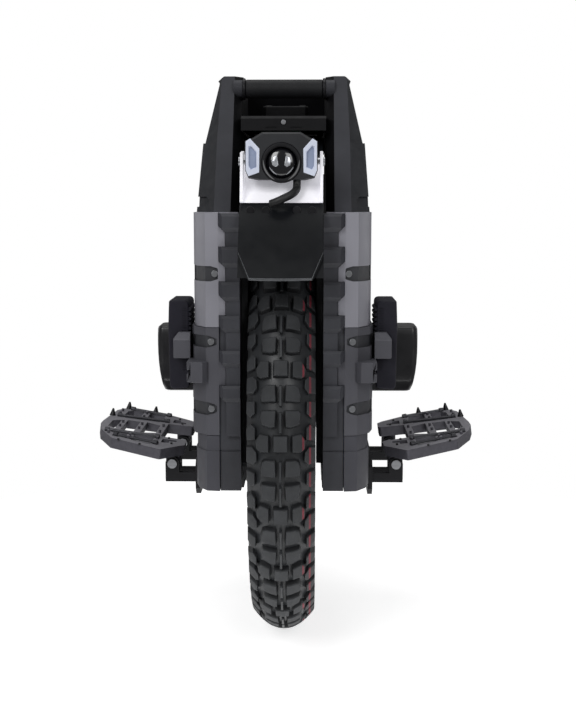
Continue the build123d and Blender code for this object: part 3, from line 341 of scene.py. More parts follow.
M = {
    "tyre_side": surface("tyre_side", (0.018, 0.019, 0.021), 0.55, mottle=0.25, grain=0.08,
                         grain_scale=500),
    "tyre_groove": surface("tyre_groove", (0.026, 0.028, 0.031), 0.42, mottle=0.2, grain=0.05,
                           grain_scale=400),
    "tread": tread_material(),
    "frame_alloy": surface("frame_alloy", (0.32, 0.33, 0.35), 0.38, metallic=1.0, grain=0.03),
    "steel": surface("steel", (0.42, 0.43, 0.45), 0.32, metallic=1.0, mottle=0.08, mottle_scale=18,
                     grain=0.02, grain_scale=260, stretch=(1, 30, 30)),
    "black_steel": surface("black_steel", (0.010, 0.010, 0.012), 0.45, metallic=0.2, specular=0.3,
                           grain=0.05),
    "copper": surface("copper", (0.72, 0.33, 0.16), 0.35, metallic=1.0, grain=0.2, grain_scale=500,
                      stretch=(1, 6, 6)),
    "cage_plastic": surface("cage_plastic", (0.036, 0.037, 0.044), 0.6, mottle=0.1, grain=0.05,
                            grain_scale=1400, specular=0.25),
    # Painted shade: a darker copy of the cage plastic for the cage's outer flanks.
    "cage_flank": surface("cage_flank", (0.019, 0.020, 0.024), 0.62, mottle=0.1, grain=0.05,
                          grain_scale=1400, specular=0.2),
    "lamp_housing": surface("lamp_housing", (0.02, 0.021, 0.024), 0.5, mottle=0.1, grain=0.03,
                            grain_scale=1400, specular=0.35),
    "panel_silver": surface("panel_silver", (0.29, 0.288, 0.325), 0.46, metallic=0.3, mottle=0.07,
                            mottle_scale=14, grain=0.03, grain_scale=2200),
    "panel_grey": surface("panel_grey", (0.085, 0.085, 0.099), 0.46, metallic=0.25, mottle=0.1,
                          mottle_scale=14, grain=0.03, grain_scale=2200),
    "panel_dark": surface("panel_dark", (0.046, 0.046, 0.057), 0.5, mottle=0.1, grain=0.05,
                          grain_scale=1500),
    "bumper_plastic": surface("bumper_plastic", (0.034, 0.035, 0.043), 0.52, mottle=0.14, grain=0.06,
                              grain_scale=1200),
    "fender_plastic": surface("fender_plastic", (0.004, 0.0048, 0.0062), 0.4, mottle=0.1, grain=0.01,
                              specular=0.22),
    # Painted highlight: the fender lip's lighter, half-metallic colour stands in for the bright line along
    # the fender's lower edge.
    "fender_lip": surface("fender_lip", (0.10, 0.105, 0.112), 0.3, metallic=0.5, mottle=0.1, grain=0.01),
    "grip_rubber": surface("grip_rubber", (0.009, 0.0095, 0.011), 0.62, specular=0.3, grain=0.12,
                           grain_scale=900),
    "front_pad": surface("front_pad", (0.011, 0.0105, 0.018), 0.7, specular=0.3, mottle=0.12, grain=0.12,
                         grain_scale=800),
    "rear_pad": surface("rear_pad", (0.012, 0.012, 0.014), 0.34, mottle=0.2, grain=0.03, coat=0.2),
    "pedal_alloy": surface("pedal_alloy", (0.27, 0.265, 0.29), 0.55, metallic=0.3, mottle=0.16,
                           mottle_scale=320, grain=0.12, grain_scale=1500),
    # Painted shade: a darker copy of the pedal alloy for the pedals' sides and undersides.
    "pedal_side": surface("pedal_side", (0.085, 0.083, 0.098), 0.55, metallic=0.3, mottle=0.12,
                          mottle_scale=200, grain=0.08, grain_scale=1500),
    "pedal_dark": surface("pedal_dark", (0.045, 0.045, 0.052), 0.4, metallic=0.5, mottle=0.2, grain=0.05),
    "spike_black": surface("spike_black", (0.012, 0.012, 0.014), 0.35, metallic=0.4, grain=0.03),
    # The bracket's glow, set in GLOWS below, is painted light; the plate is no lamp.
    "bracket_silver": surface("bracket_silver", (0.93, 0.92, 0.96), 0.5, metallic=0.0, mottle=0.04,
                              mottle_scale=18, grain=0.02, grain_scale=260, stretch=(1, 22, 22)),
    "dark_screw": surface("dark_screw", (0.03, 0.03, 0.033), 0.35, metallic=0.8, grain=0.02),
    "case_black": surface("case_black", (0.004, 0.004, 0.005), 0.6, mottle=0.1, grain=0.05,
                          grain_scale=1400, specular=0.2),
    # Painted shade: the near-black colour of the covers' screw pockets, for the shade inside the recesses.
    "pocket": surface("pocket", (0.03, 0.031, 0.036), 0.5, mottle=0.12, grain=0.05, grain_scale=1400),
    "chrome": surface("chrome", (0.82, 0.82, 0.84), 0.08, metallic=1.0, mottle=0.03, grain=0.0,
                      spread_rough=0.02),
    "lens": surface("lens", (0.004, 0.004, 0.006), 0.07, mottle=0.1, grain=0.0, spread_rough=0.02,
                    coat=1.0),
    "reflector": surface("reflector", (0.62, 0.64, 0.68), 0.2, metallic=0.6, mottle=0.3, mottle_scale=200,
                         grain=0.02),
    "lamp_white": surface("lamp_white", (0.62, 0.67, 0.80), 0.28, mottle=0.05, grain=0.01, coat=0.4),
    "lamp_dish": surface("lamp_dish", (0.30, 0.35, 0.48), 0.3, mottle=0.1, grain=0.02, coat=0.4),
    "lamp_red": surface("lamp_red", (0.35, 0.008, 0.012), 0.2, mottle=0.1, grain=0.02, coat=0.6),
    "board": surface("board", (0.01, 0.09, 0.04), 0.4, mottle=0.3, mottle_scale=150, grain=0.05),
    "magnet": surface("magnet", (0.42, 0.42, 0.44), 0.3, metallic=1.0, grain=0.02),
    "screen": surface("screen", (0.006, 0.007, 0.010), 0.06, mottle=0.1, grain=0.0, spread_rough=0.02,
                      coat=1.0),
    "cable": surface("cable", (0.010, 0.010, 0.011), 0.5, grain=0.06, grain_scale=1200),
    "battery_wrap": surface("battery_wrap", (0.02, 0.05, 0.16), 0.3, mottle=0.15, grain=0.03, coat=0.3),
}
# Emission: the running lights are lamps, but the bracket plate is no lamp, and its glow is painted light
# that brightens it where the headlight shades it.
GLOWS = {"bracket_silver": 0.28, "lamp_white": 0.12}
for name, glow in GLOWS.items():
    lit = M[name].node_tree.nodes["Principled BSDF"]
    lit.inputs["Emission Color"].default_value = (0.86, 0.86, 0.92, 1)
    lit.inputs["Emission Strength"].default_value = glow


# ======================= camera, lights and stage =======================
def make_camera():
    data = bpy.data.cameras.new("camera")
    data.sensor_width = 36.0
    data.lens = 59.18
    cam = bpy.data.objects.new("camera", data)
    cam.location = (0.030, -1.400, 0.517)
    cam.rotation_euler = (radians(82.5), 0, radians(1.1))
    bpy.context.scene.collection.objects.link(cam)
    bpy.context.scene.camera = cam


LIGHTS = (
    # name, place in metres, width and height in metres, watts
    ("key", (-1.0, -1.8, 1.6), (0.9, 1.3), 21),
    ("fill", (1.0, -1.8, 1.3), (0.9, 1.3), 12),
    ("rim_left", (-1.4, 0.8, 0.9), (0.5, 1.4), 3),
    ("rim_right", (1.4, 0.8, 0.9), (0.5, 1.4), 3),
    ("top", (0, 0.2, 2.0), (1.2, 1.2), 10),
)
LIT_POINT = (0, 0, 0.33)         # every light faces the middle of the machine
AMBIENT = 0.16                   # the studio's own light, apart from the background that is seen


def area_light(name, place, size, power):
    data = bpy.data.lights.new(name, "AREA")
    data.shape = "RECTANGLE"
    data.size, data.size_y = size
    data.energy = power
    light = bpy.data.objects.new(name, data)
    light.location = place
    light.rotation_euler = (Vector(LIT_POINT) - Vector(place)).to_track_quat("-Z", "Y").to_euler()
    bpy.context.scene.collection.objects.link(light)


def make_studio():
    world = bpy.data.worlds.new("studio")
    world.use_nodes = True
    nodes, links = world.node_tree.nodes, world.node_tree.links
    background = nodes["Background"]
    background.inputs["Color"].default_value = (1, 1, 1, 1)
    seen = nodes.new("ShaderNodeLightPath")
    strength = nodes.new("ShaderNodeMapRange")
    strength.inputs["To Min"].default_value = AMBIENT
    strength.inputs["To Max"].default_value = 1.0
    links.new(seen.outputs["Is Camera Ray"], strength.inputs["Value"])
    links.new(strength.outputs["Result"], background.inputs["Strength"])
    bpy.context.scene.world = world
    for light in LIGHTS:
        area_light(*light)
    bpy.context.scene.view_settings.view_transform = "Standard"


FLOOR_R = 0.75                  # metres
FLOOR_GLOW = 0.66


def make_floor():
    """A pale disc under the wheel."""
    mesh = bpy.data.meshes.new("floor")
    bm = bmesh.new()
    bmesh.ops.create_circle(bm, cap_ends=True, radius=FLOOR_R, segments=96)
    bm.to_mesh(mesh)
    bm.free()
    floor = bpy.data.objects.new("floor", mesh)
    bpy.context.scene.collection.objects.link(floor)
    finish = surface("floor", (0.93, 0.93, 0.93), 0.8, mottle=0.01, grain=0.0, specular=0.0)
    shader = finish.node_tree.nodes["Principled BSDF"]
    shader.inputs["Emission Color"].default_value = (1, 1, 1, 1)
    shader.inputs["Emission Strength"].default_value = FLOOR_GLOW
    mesh.materials.append(finish)


# ======================= tyre ===========================================
ROWS = 60                       # rows of knobs round the tyre, in repeats of three
KNOB_H = 7.2                    # height of a knob above the groove floor
PHASE = 22.9                    # degrees from the front to a row with a centre knob
EDGE = 0.9                      # rounding of a knob's top edge
CROWN_X, CROWN_DROP, CROWN_POWER = 23.0, 9.0, 2.1    # the tread falls 9 mm at 23 mm from the middle
GROOVE_HALF = 30.0              # the groove floor ends here and the sidewall begins


def crown(x):
    """Radius of the knob tops at distance x from the wheel's plane."""
    return TYRE_R - 0.1 - CROWN_DROP * (abs(x) / CROWN_X) ** CROWN_POWER


def on_tyre(x, s, r):
    """Point at x across and s along the tread, counted from the front, at radius r."""
    a = s / TYRE_R
    return x, -r * cos(a), AXLE_Z + r * sin(a)


def refine(points, step=6.0):
    """The outline with extra points, so that a wide knob follows the crown."""
    out = []
    for a, b in zip(points, points[1:] + points[:1]):
        n = max(1, round(max(abs(a[0] - b[0]), abs(a[1] - b[1])) / step))
        out += [(a[0] + (b[0] - a[0]) * i / n, a[1] + (b[1] - a[1]) * i / n) for i in range(n)]
    return out


def knob(shape, points, height=KNOB_H, flare=1.3, top=1, side=0):
    """One tread block: a flared foot, a rounded shoulder and a crowned top."""
    points = refine(points)
    cx = sum(p[0] for p in points) / len(points)
    cs = sum(p[1] for p in points) / len(points)

    def grown(d, drop):
        ring = []
        for x, s in points:
            reach = sqrt((x - cx) ** 2 + (s - cs) ** 2)
            k = 1 + d / reach
            gx = max(-TYRE_HALF, min(TYRE_HALF, cx + (x - cx) * k))
            ring.append(on_tyre(gx, cs + (s - cs) * k, crown(gx) - drop))
        return ring

    rings = [grown(flare, height + 1.5), grown(0.25, EDGE * 1.6), grown(-EDGE * 0.3, EDGE * 0.45),
             grown(-EDGE, 0)]
    n = len(points)
    shape.loft(rings[:2], side, (False, False))
    shape.loft(rings[1:], top, (False, False))
    fan = [[i, (i + 1) % n, n] for i in range(n)]
    shape.add(rings[-1] + [on_tyre(cx, cs, crown(cx))], fan, top)


CENTRE_KNOB = [(-7.2, -8.2), (7.2, -8.2), (7.2, 8.2), (-7.2, 8.2)]
SIDE_KNOB = [(12.4, -8.6), (20.5, -9.4), (24.6, -6.0), (25.4, 2.0), (21.0, 9.6), (12.4, 8.2)]
UPPER_PAIR = [(4.9, -8.4), (19.6, -8.4), (20.4, -2.0), (18.6, 6.2), (15.4, 8.6), (5.6, 8.6)]
LOWER_PAIR = [(4.9, 8.2), (19.0, 8.2), (20.4, 3.5), (18.8, -6.4), (11.0, -9.2), (5.6, -8.4)]
HALVES = (SIDE_KNOB, UPPER_PAIR, LOWER_PAIR)
SHOULDERS = ([(26.4, -7.4), (35.2, -9.4), (35.6, 3.6), (30.5, 8.8), (26.6, 5.0)],
             [(24.6, -4.4), (28.2, -9.2), (35.6, -8.0), (35.4, 9.0), (29.2, 9.6), (25.2, 4.8)],
             [(26.8, -5.2), (31.0, -9.4), (35.6, -4.6), (35.3, 8.6), (27.0, 7.4)])
RIB_HALF = 1.3                  # half the width of the low rib between the centre blocks
SHOULDER_SHIFT = 0.42           # shoulder knobs stand this share of a row ahead


def tyre():
    shape = Shape()
    pitch = 2 * pi * TYRE_R / ROWS
    first = radians(PHASE) * TYRE_R
    for row in range(ROWS):
        s0 = first - row * pitch
        kind = row % 3
        if kind == 0:
            knob(shape, [(x, s0 + s) for x, s in CENTRE_KNOB])
        for side in (-1, 1):
            place = [(side * x, s0 + s) for x, s in HALVES[kind]]
            knob(shape, place[::side])
            place = [(side * x, s0 + s + SHOULDER_SHIFT * pitch) for x, s in SHOULDERS[kind]]
            knob(shape, place[::side], KNOB_H - 0.6)
        if kind != 0:
            low = s0 - pitch * (0.5 if kind == 1 else 0.56)
            high = low + pitch * 0.8
            rib = [(-RIB_HALF, low), (RIB_HALF, low), (RIB_HALF, high), (-RIB_HALF, high)]
            knob(shape, rib, 3.0, 0.8, 2, 2)
    carcass(shape)
    piece("tyre_knobbed", shape, [M["tyre_side"], M["tread"], M["tyre_groove"]], "wheel",
          smooth=32, stands_for=("tyre",))


def carcass(shape, turns=240):
    """Groove floor, sidewalls with two fine rings, and beads."""
    floor = [(x, crown(x) - KNOB_H) for x in (0, 5, 10, 15, 20, 25, 29, 32)]
    wall = [(34.6, 221.0), (35.3, 216.0), (35.5, 213.4), (35.9, 212.6), (35.9, 211.0), (35.5, 210.2),
            (35.2, 205.0), (34.8, 203.6), (35.0, 202.8), (34.8, 202.0), (34.0, 197.0), (32.6, RIM_R + 3.5),
            (31.4, RIM_R + 0.6), (30.2, RIM_R - 1.0), (30.1, RIM_R - 8.0)]
    half = floor + wall
    profile = [(-x, r) for x, r in reversed(half[1:])] + half
    rings = []
    for i in range(turns):
        s = 2 * pi * TYRE_R * i / turns
        rings.append([on_tyre(x, s, r) for x, r in profile])
    n = len(profile)
    verts = [p for ring in rings for p in ring]
    groove, side = [], []
    for i in range(turns):
        j = (i + 1) % turns
        for k in range(n - 1):
            face = [i * n + k, i * n + k + 1, j * n + k + 1, j * n + k]
            x = abs(profile[k][0] + profile[k + 1][0]) / 2
            (groove if x < GROOVE_HALF else side).append(face)
    start = len(shape.verts)
    shape.add(verts, groove, 2)
    shape.faces += [[start + v for v in face] for face in side]
    shape.marks += [0] * len(side)


# ======================= pads ===========================================
def arc(cx, cz, r, a0, a1, n=5):
    """Points on an arc from a0 to a1 degrees."""
    angles = [radians(a0 + (a1 - a0) * i / n) for i in range(n + 1)]
    return [(cx + r * cos(a), cz + r * sin(a)) for a in angles]


def front_pads():
    """Blue-black knee pads: flat face, bowed outer side, toothed inner edge with fine ribs."""
    (x0, x1), (y0, y1), (z0, z1) = cad_range("front_pad_right")
    inner = x0 + 2.6                 # the pad's inner side, where the teeth start
    outline = arc(x1 - 6, z0 + 6, 5, -90, 0) + [(x1 - 0.4, z0 + 40), (x1, z0 + 70), (x1 - 0.6, z1 - 12)]
    outline += arc(x1 - 3.2, z1 - 2.4, 2.2, 0, 90, 3) + arc(inner + 5.0, z1 - 5.2, 5, 90, 180, 4)
    outline += arc(inner + 4.0, z0 + 6, 4, 180, 270, 3)
    rings = [[(x, y, z) for x, z in inset(outline, d)] for y, d in
             ((y0, 2.2), (y0 + 0.5, 1.0), (y0 + 1.6, 0.2), (y0 + 3.2, 0), ((y0 + y1) / 2, 0.0), (y1 - 3, 0),
              (y1 - 1, 0.7), (y1, 2.0))]
    shape = Shape()
    shape.loft(rings)
    tooth, teeth = 5.2, 5
    for i in range(teeth):
        top = z1 - 8 - i * tooth
        profile = [(inner + 1.5, top), (inner - 0.2, top), (x0 + 0.4, top - 1.6), (x0 + 0.4, top - 3.3),
                   (inner + 1.5, top - 4.6)]
        shape.loft([[(x, y, z) for x, z in profile] for y in (y0 + 1.2, y1 - 6)])
    low_tooth = z1 - 8 - teeth * tooth
    base = [(inner + 0.5, z0 + 10), (inner + 0.5, low_tooth), (x0 + 0.2, low_tooth - 3), (x0 + 0.2, z0 + 14)]
    shape.loft([[(x, y, z) for x, z in base] for y in (y0 + 2.4, y1 - 6)])
    rib_z = z0 + 22
    while rib_z < z1 - 8:
        shape.loft([[(x, y0 + 0.6, rib_z), (x, y0, rib_z + 0.5), (x, y0, rib_z + 1.0),
                     (x, y0 + 0.6, rib_z + 1.5)] for x in (inner + 2.6, inner + 7.5)])
        rib_z += 2.7
    for name, form in (("front_pad_right", shape), ("front_pad_left", shape.mirror_x())):
        pad = piece(name + "_moulded", form, [M["front_pad"]], "chassis", smooth=30,
                    stands_for=(name,))


def rounded_rectangle(x0, x1, y0, y1, r_in, r_out, n=5):
    """Plan outline, anticlockwise, with the corners away from the body rounder."""
    points = arc(x1 - r_out, y1 - r_out, r_out, 0, 90, n) + arc(x0 + r_in, y1 - r_in, r_in, 90, 180, n)
    points += arc(x0 + r_in, y0 + r_in, r_in, 180, 270, n)
    return points + arc(x1 - r_out, y0 + r_out, r_out, 270, 360, n)


def rear_pads():
    """Glossy calf pads, barrel-faced, with a lip along the foot."""
    (x0, x1), (y0, y1), (z0, z1) = cad_range("rear_pads")
    x0 = cad_range("front_pad_right")[0][0]
    tall = z1 - z0
    # height above the foot, how far the outer side and the rear and front pull in, corner radius
    profile = [(0.0, 11.5, 3.2, 6), (1.2, 9.2, 1.4, 6), (8.0, 6.0, 0.9, 6), (13.0, 4.6, 1.2, 6),
               (14.0, 4.2, 2.6, 6), (15.4, 3.8, 3.4, 6), (24.0, 2.0, 4.2, 7), (36.0, 0.6, 3.4, 8),
               (50.0, 0.0, 1.6, 8), (64.0, 0.0, 0.3, 8), (74.0, 0.1, 0.2, 8), (82.0, 0.4, 0.8, 8),
               (84.6, 1.3, 2.2, 7), (tall - 0.4, 2.4, 3.6, 6), (tall, 4.0, 6.0, 5)]
    rings = []
    for rise, pull_x, pull_y, r in profile:
        ring = rounded_rectangle(x0, x1 - pull_x, y0 + pull_y, y1 - pull_y * 0.4, 1.5, r)
        rings.append([(x, y, z0 + rise) for x, y in ring])
    shape = Shape()
    shape.loft(rings)
    shape.both_sides()
    pads = piece("rear_pads_moulded", shape, [M["rear_pad"]], "chassis", smooth=50,
                 stands_for=("rear_pads",))


# ======================= pedals =========================================
PEDAL_RISE = radians(7.4)       # how far the open pedals slope up towards their tips
PEDAL_X = cad_range("pedal_right")[0][0]
PEDAL_Y = cad_range("pedal_right")[1][0] + 106.0    # the deck's middle, aft of its front tip
PEDAL_Z = AXLE_Z - 16.5         # the deck's top at the arms' ends


def on_deck(s, y, h):
    """A point s outwards from the arms' ends, y aft and h above the right-hand pedal's deck."""
    return (PEDAL_X + s * cos(PEDAL_RISE) - h * sin(PEDAL_RISE), PEDAL_Y + y,
            PEDAL_Z + s * sin(PEDAL_RISE) + h * cos(PEDAL_RISE))


def deck_rod(shape, a, b, h, r, n=14):
    """A round rod with chamfered ends, lying on the deck from a to b."""
    (s0, y0), (s1, y1) = a, b
    length = sqrt((s1 - s0) ** 2 + (y1 - y0) ** 2)
    along = ((s1 - s0) / length, (y1 - y0) / length)
    across = (-along[1], along[0])
    rings = []
    for d, k in ((0, 1 - 0.35 / r), (0.35, 1), (length - 0.35, 1), (length, 1 - 0.35 / r)):
        ring = []
        for i in range(n):
            c, w = r * k * cos(2 * pi * i / n), r * k * sin(2 * pi * i / n)
            s, y = s0 + along[0] * d + across[0] * c, y0 + along[1] * d + across[1] * c
            ring.append(on_deck(s, y, h + w))
        rings.append(ring)
    shape.loft(rings)


RAILS = (((30, -84), (84, -66)), ((32, -50), (98, -46)), ((32, 46), (98, 46)), ((34, 84), (88, 96)))
BOLTS = ((14, -72), (20, -46), (14, 46), (20, 72), (48, -96), (74, -86))
KNOB_LONG = 5.5                 # length of the thicker end on each rod


def pedal_trims():
    """Dark grip rods with thicker ends on each deck, and set screws beside the hinges."""
    rods, bolts = Shape(), Shape()
    for a, b in RAILS:
        deck_rod(rods, a, b, 1.4, 1.9)
        for end, other in ((a, b), (b, a)):
            length = sqrt((a[0] - b[0]) ** 2 + (a[1] - b[1]) ** 2)
            far = tuple(e + (o - e) * KNOB_LONG / length for e, o in zip(end, other))
            deck_rod(rods, end, far, 1.5, 3.1)
    for s, y in BOLTS:
        deck_rod(bolts, (s, y), (s + 2.6, y), 0.5, 1.5, 10)
    for side, rod_form, bolt_form in (("right", rods, bolts), ("left", rods.mirror_x(), bolts.mirror_x())):
        body = "pedal_" + side
        piece("pedal_rods_" + side, rod_form, [M["pedal_dark"]], body, smooth=40)
        piece("pedal_bolts_" + side, bolt_form, [M["spike_black"]], body, smooth=40)


# ======================= headlight ======================================
def disc_ring(r, y, cx, cz, n=48):
    return [(cx + r * cos(2 * pi * i / n), y, cz + r * sin(2 * pi * i / n)) for i in range(n)]


def crescent(shape, cx, cz, r_out, r_in, a0, a1, y, depth, n=16):
    """A sickle that is widest in its middle, between two angles."""
    rings = []
    for i in range(n + 1):
        t = i / n
        a = radians(a0 + (a1 - a0) * t)
        width = (r_out - r_in) * sin(pi * min(max(t, 0.02), 0.98)) ** 0.6
        c, s = cos(a), sin(a)
        inner = r_out - width
        rings.append([(cx + r * c, y + back, cz + r * s)
                      for r, back in ((r_out, 0), (r_out, depth), (inner, depth), (inner, 0))])
    shape.loft(rings)


DOME_DEPTH = 6.5                # how far the lens bulges forwards
CELL = [(3.0, -2.5), (4.6, 6.8), (8.2, 5.6), (10.4, 1.6), (9.0, -2.8), (6.0, -4.2)]
CELL_MIDDLE = (6.9, 1.0)
# the cell's layers from its back to its front: share of the outline, height off the dome
CELL_LAYERS = ((1.0, 1.0), (1.0, -0.1), (0.9, -0.35), (0.6, -0.35), (0.3, -0.35), (0.05, -0.35))


def headlight_optics():
    """Projector lens: dark dome, two reflector cells, and bright sickles beside it."""
    cx, cz = (LENS_X[0] + LENS_X[1]) / 2, (LENS_Z[0] + LENS_Z[1]) / 2
    r = (LENS_X[1] - LENS_X[0]) / 2 - 0.1
    front = LENS_Y[0]
    dome = Shape()

    def dome_y(x, z):
        return front + DOME_DEPTH * (1 - sqrt(max(0.0, 1 - (x * x + z * z) / (r * r))))

    rings = [disc_ring(r, LENS_Y[1], cx, cz), disc_ring(r, front + DOME_DEPTH, cx, cz)]
    for k in range(1, 12):
        q = r * cos(k / 12 * pi / 2)
        rings.append(disc_ring(q, dome_y(q, 0), cx, cz))
    dome.loft(rings)
    piece("projector_lens", dome, [M["lens"]], "headlight", smooth=50,
          stands_for=("headlight_lens",))
    cells = Shape()
    for side in (-1, 1):
        mid_x, mid_z = CELL_MIDDLE
        rings = []
        for share, lift in CELL_LAYERS:
            flat = [(side * (mid_x + (x - mid_x) * share), mid_z + (z - mid_z) * share) for x, z in CELL]
            rings.append([(cx + x, dome_y(x, z) + lift, cz + z) for x, z in flat[::side]])
        cells.loft(rings)
        sweep = (200, 250) if side < 0 else (290, 340)
        crescent(cells, cx, cz, 13.2, 12.0, *sweep, dome_y(12.6, 0) - 0.3, depth=2.0)
    piece("reflector_cells", cells, [M["reflector"]], "headlight", smooth=40)
    trims = Shape()
    bezel_r = (BEZEL_X[1] - BEZEL_X[0]) / 2
    for sweep in ((172, 248), (292, 368)):
        crescent(trims, cx, cz, bezel_r - 1.9, bezel_r - 3.6, *sweep, BEZEL_Y[0] - 0.4, depth=1.4)
    piece("bezel_sickles", trims, [M["chrome"]], "headlight", smooth=40)


def lamp_dishes():
    """Blue-grey recessed panels inside the running lights."""
    _, (y0, _), (z0, z1) = cad_range("running_lights")
    shape = Shape()
    outline = [(26.0, z0 + 9.6), (31.4, z0 + 7.2), (33.4, z0 + 11.0), (33.4, z1 - 9.4), (31.2, z1 - 8.2),
               (26.0, z1 - 14.0)]
    layers = ((y0 + 4.2, 0), (y0 + 3.1, 0), (y0 + 2.9, 0.4))
    shape.loft([[(x, y, z) for x, z in inset(outline, d)] for y, d in layers])
    shape.both_sides()
    piece("lamp_dishes", shape, [M["lamp_dish"]], "headlight")


# ======================= small trims on the chassis =====================
def slot_shade_strips():
    """Dark strips on the side plates that close the slots beside the tyre: a dark sheet that is painted
    shade for those slots.
    """
    _, (y0, y1), (z0, _) = cad_range("side_plates")
    (_, outer), _, (z1, _) = cad_range("front_fender")
    inner = TYRE_HALF + 0.8
    shape = Shape()
    for side in (-1, 1):
        for a, b in ((y0 + 4, y0 + 30), (y1 - 30, y1 - 4)):
            ring = [(inner, a + 2), (inner, b - 2), (outer, b), (outer, a)]
            shape.loft([[(side * x, y, z) for x, y in ring[::side]] for z in (z0 + 34, z1 + 6)])
    # Painted shade: dark strips stand in for the shade in the slots beside the tyre.
    piece("slot_shade_strips", shape, [M["grip_rubber"]], "chassis", bevel=0.4)


def fender_lip():
    """A rounded bead along the front fender's lower edge; its lighter, half-metallic colour is a painted
    highlight for the bright line there.
    """
    (_, x1), _, (z0, _) = cad_range("front_fender")
    shape = Shape()
    corner, rise = x1 - 12, 26.0
    route = [(-x1 + 0.6, rise), (-corner, 0.4), (-corner * 0.5, -0.2), (0, -0.3), (corner * 0.5, -0.2),
             (corner, 0.4), (x1 - 0.6, rise)]
    turns = [2 * pi * k / 12 for k in range(12)]
    rings = []
    for x, dz in route:
        y = -fender_y(z0 + dz)
        rings.append([(x, y + 1.5 * cos(a) + 0.3, z0 + dz + 0.9 + 1.4 * sin(a)) for a in turns])
    shape.loft(rings)
    piece("fender_lip", shape, [M["fender_lip"]], "chassis", smooth=60)


def fender_y(z):
    """How far in front of the axle the fender's outer skin stands at height z. The skin is an arc
    round the axle's place at full travel."""
    _, (y0, _), (z0, _) = cad_range("front_fender")
    centre = AXLE_Z + TRAVEL
    skin = sqrt(y0 * y0 + (z0 - centre) ** 2)
    return sqrt(skin * skin - (z - centre) ** 2)


def cowl_seals():
    """Black strips that close the gap between the rear cowl's ends and the cage's rear facets."""
    (_, x1), (y0, y1), (z0, z1) = cad_range("rear_cowl")
    slope = [(y0 + 1, z1 - 6), (y1 - 4, z0 + 2), (y1 - 6, z0 + 1), (y0 - 1, z1 - 7)]
    shape = Shape()
    shape.loft([[(x, y, z) for y, z in slope] for x in (x1 - 0.5, x1 + 9.5)])
    shape.both_sides()
    piece("cowl_seals", shape, [M["case_black"]], "chassis", bevel=0.3)


CABLE_POINTS = [(16, -186, 539), (16, -186, 532), (15.5, -190.5, 527), (11, -197.5, 522.5),
                (3.5, -202, 519), (-4, -202.5, 515.5), (-10.5, -199, 513)]
CABLE_R = 4.2


def headlight_cable():
    """The lamp's lead, from under the housing to its hole in the bracket."""
    curve = bpy.data.curves.new("headlight_lead", "CURVE")
    curve.dimensions = "3D"
    spline = curve.splines.new("NURBS")
    spline.points.add(len(CABLE_POINTS) - 1)
    for point, place in zip(spline.points, CABLE_POINTS):
        point.co = (*(Vector(place) * MM), 1)
    spline.order_u = 3
    spline.use_endpoint_u = True
    spline.resolution_u = 12
    path_obj = bpy.data.objects.new("lead_path", curve)
    bpy.context.scene.collection.objects.link(path_obj)
    graph = bpy.context.evaluated_depsgraph_get()
    line = bpy.data.meshes.new_from_object(path_obj.evaluated_get(graph))
    points = [v.co / MM for v in line.vertices]
    bpy.data.objects.remove(path_obj)
    shape = Shape()
    turns = [2 * pi * k / 16 for k in range(16)]
    rings = []
    for i, p in enumerate(points):
        ahead = (points[min(i + 1, len(points) - 1)] - points[max(i - 1, 0)]).normalized()
        u = ahead.cross(Vector((0, 0, 1))).normalized()
        w = u.cross(ahead)
        ridge = CABLE_R + (0.0 if i % 2 else -0.25)
        rings.append([tuple(p + (u * cos(a) + w * sin(a)) * ridge) for a in turns])
    shape.loft(rings)
    lead = piece("headlight_lead", shape, [M["cable"]], "chassis", smooth=60,
                 stands_for=("headlight_cable",), blended=True)
    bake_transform(lead)


# ======================= finished CAD parts =============================
COVERS = ("upper_cover_left", "upper_cover_right", "middle_cover_left", "middle_cover_right")
FINISHES = (
    # nodes, material, edge rounding in mm
    (("upper_cover_left", "upper_cover_right"), "panel_silver", 1.0),
    (("middle_cover_left", "middle_cover_right", "pad_clamps", "pad_brackets"), "panel_grey", 1.0),
    (("lower_covers",), "panel_dark", 0.9),
    (("front_bumper_left", "front_bumper_right", "rear_bumpers"), "bumper_plastic", 1.3),
    (("cage_left", "cage_right"), "cage_plastic", 1.2),
    (("controller_case", "display_pod", "rear_cowl"), "case_black", 0.6),
    (("wheel_well", "front_fender", "rear_fender"), "fender_plastic", 0.9),
    (("pedal_left", "pedal_right"), "pedal_alloy", 0.6),
    (("pedal_spikes_left", "pedal_spikes_right"), "spike_black", 0.25),
    (("pedal_hangers", "handle_collars"), "black_steel", 0.6),
    (("headlight_housing",), "lamp_housing", 0.7),
    (("headlight_bracket",), "bracket_silver", 0.35),
    (("running_lights",), "lamp_white", 0.3),
    (("headlight_bezel",), "black_steel", 0.3),
    (("handle_grip", "power_button", "light_button"), "grip_rubber", 0.4),
    (("body_screws", "bracket_screws"), "steel", 0.3),
    (("hinge_pins", "motor_screws", "axle", "wheel_bearings"), "steel", 0.3),
    (("rim", "shock_bodies", "handle_bar"), "black_steel", 0.5),
    (("motor_covers", "axle_blocks"), "frame_alloy", 0.4),
    (("side_plates",), "case_black", 0.4),
    (("tail_light",), "lamp_red", 0.6),
    (("display_glass",), "screen", 0.2),
    (("charge_ports",), "cable", 0.4),
    (("battery_packs",), "battery_wrap", 0.6),
    (("controller_board",), "board", 0.2),
    (("shock_shafts", "guide_rods"), "chrome", 0.3),
    (("rotor_magnets", "stator"), "magnet", 0.2),
    (("stator_windings",), "copper", 0.4),
)


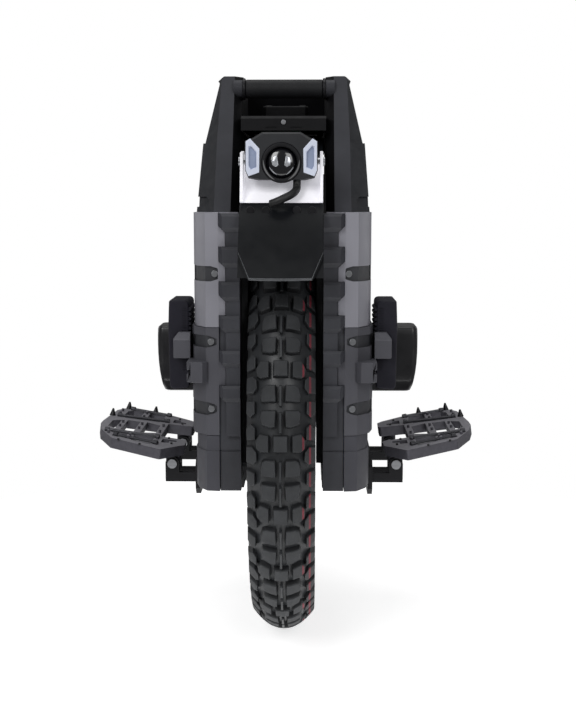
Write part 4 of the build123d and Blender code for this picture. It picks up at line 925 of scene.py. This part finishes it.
# middle height and tallness of each row of screw pockets
POCKETS = ((AXLE_Z + 190.0, 16.0), (AXLE_Z + 118.0, 13.0), (AXLE_Z + 46.0, 14.0))
POCKET_DEEP, POCKET_REACH = 0.8, 45.0    # least depth, and reach from the cover's end


def in_pocket(place, _):
    """True on the sunken faces of the covers' screw pockets, which get painted shade."""
    level = any(abs(place.z - z) < h / 2 + 0.6 for z, h in POCKETS)
    cover = "middle_cover_right" if place.z < cad_range("upper_cover_right")[2][0] else "upper_cover_right"
    x_out, face = cad_range(cover)[0][1], cad_range(cover)[1][1]
    sunk = abs(place.x) < x_out - POCKET_DEEP and abs(place.y) < face - POCKET_DEEP
    return level and sunk and abs(place.y) > face - POCKET_REACH and abs(place.x) > 60


def faces_inwards(place, normal):
    """True on the inner walls and inner facets of the cage, which get the near-black case finish as painted
    shade.
    """
    return normal.x * (1 if place.x > 0 else -1) < -0.25


def on_fender(place, _):
    """True for the row of screws along the front fender's top."""
    return abs(place.x) < cad_range("front_fender")[0][1] and place.z < cad_range("controller_case")[2][0]


def upright(_, normal):
    """True on the sides and the underside of the pedals, which get painted shade."""
    return normal.z < 0.6


def faces_outwards(place, normal):
    """True on the outer flanks of the cage, which get a darker copy of the cage plastic as painted shade."""
    return normal.x * (1 if place.x > 0 else -1) > 0.55


# Painted shade on the cage: near-black inner walls and darker outer flanks.
CAGE_FACES = (("case_black", faces_inwards), ("cage_flank", faces_outwards))
# Materials for the faces that pass a test: the dark fender screws are their own colour; the darker faces of
# the cage, pedals and pockets are painted shade.
FINISHES_AND_PAINTED_SHADE = {
    "cage_left": CAGE_FACES,
    "cage_right": CAGE_FACES,
    "body_screws": (("dark_screw", on_fender),),
    "pedal_left": (("pedal_side", upright),),
    "pedal_right": (("pedal_side", upright),),
}
# The covers' pocket faces get painted shade.
FINISHES_AND_PAINTED_SHADE.update({node: (("pocket", in_pocket),) for node in COVERS})


def finish_parts():
    """Every other CAD node gets its finish, and the springs get steel and a mesh of their own."""
    for nodes, material, bevel in FINISHES:
        for node in nodes:
            others = [(M[name], where) for name, where in FINISHES_AND_PAINTED_SHADE.get(node, ())]
            finished(node, M[material], bevel, others=others)
    spring = frame["nodes"]["shock_springs"]
    spring.data.materials.clear()
    spring.data.materials.append(M["steel"])
    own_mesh(spring)


make_camera()
headlight_cable()
make_studio()
make_floor()
finish_parts()
tyre()
front_pads()
rear_pads()
headlight_optics()
lamp_dishes()
cowl_seals()
slot_shade_strips()
fender_lip()
pedal_trims()
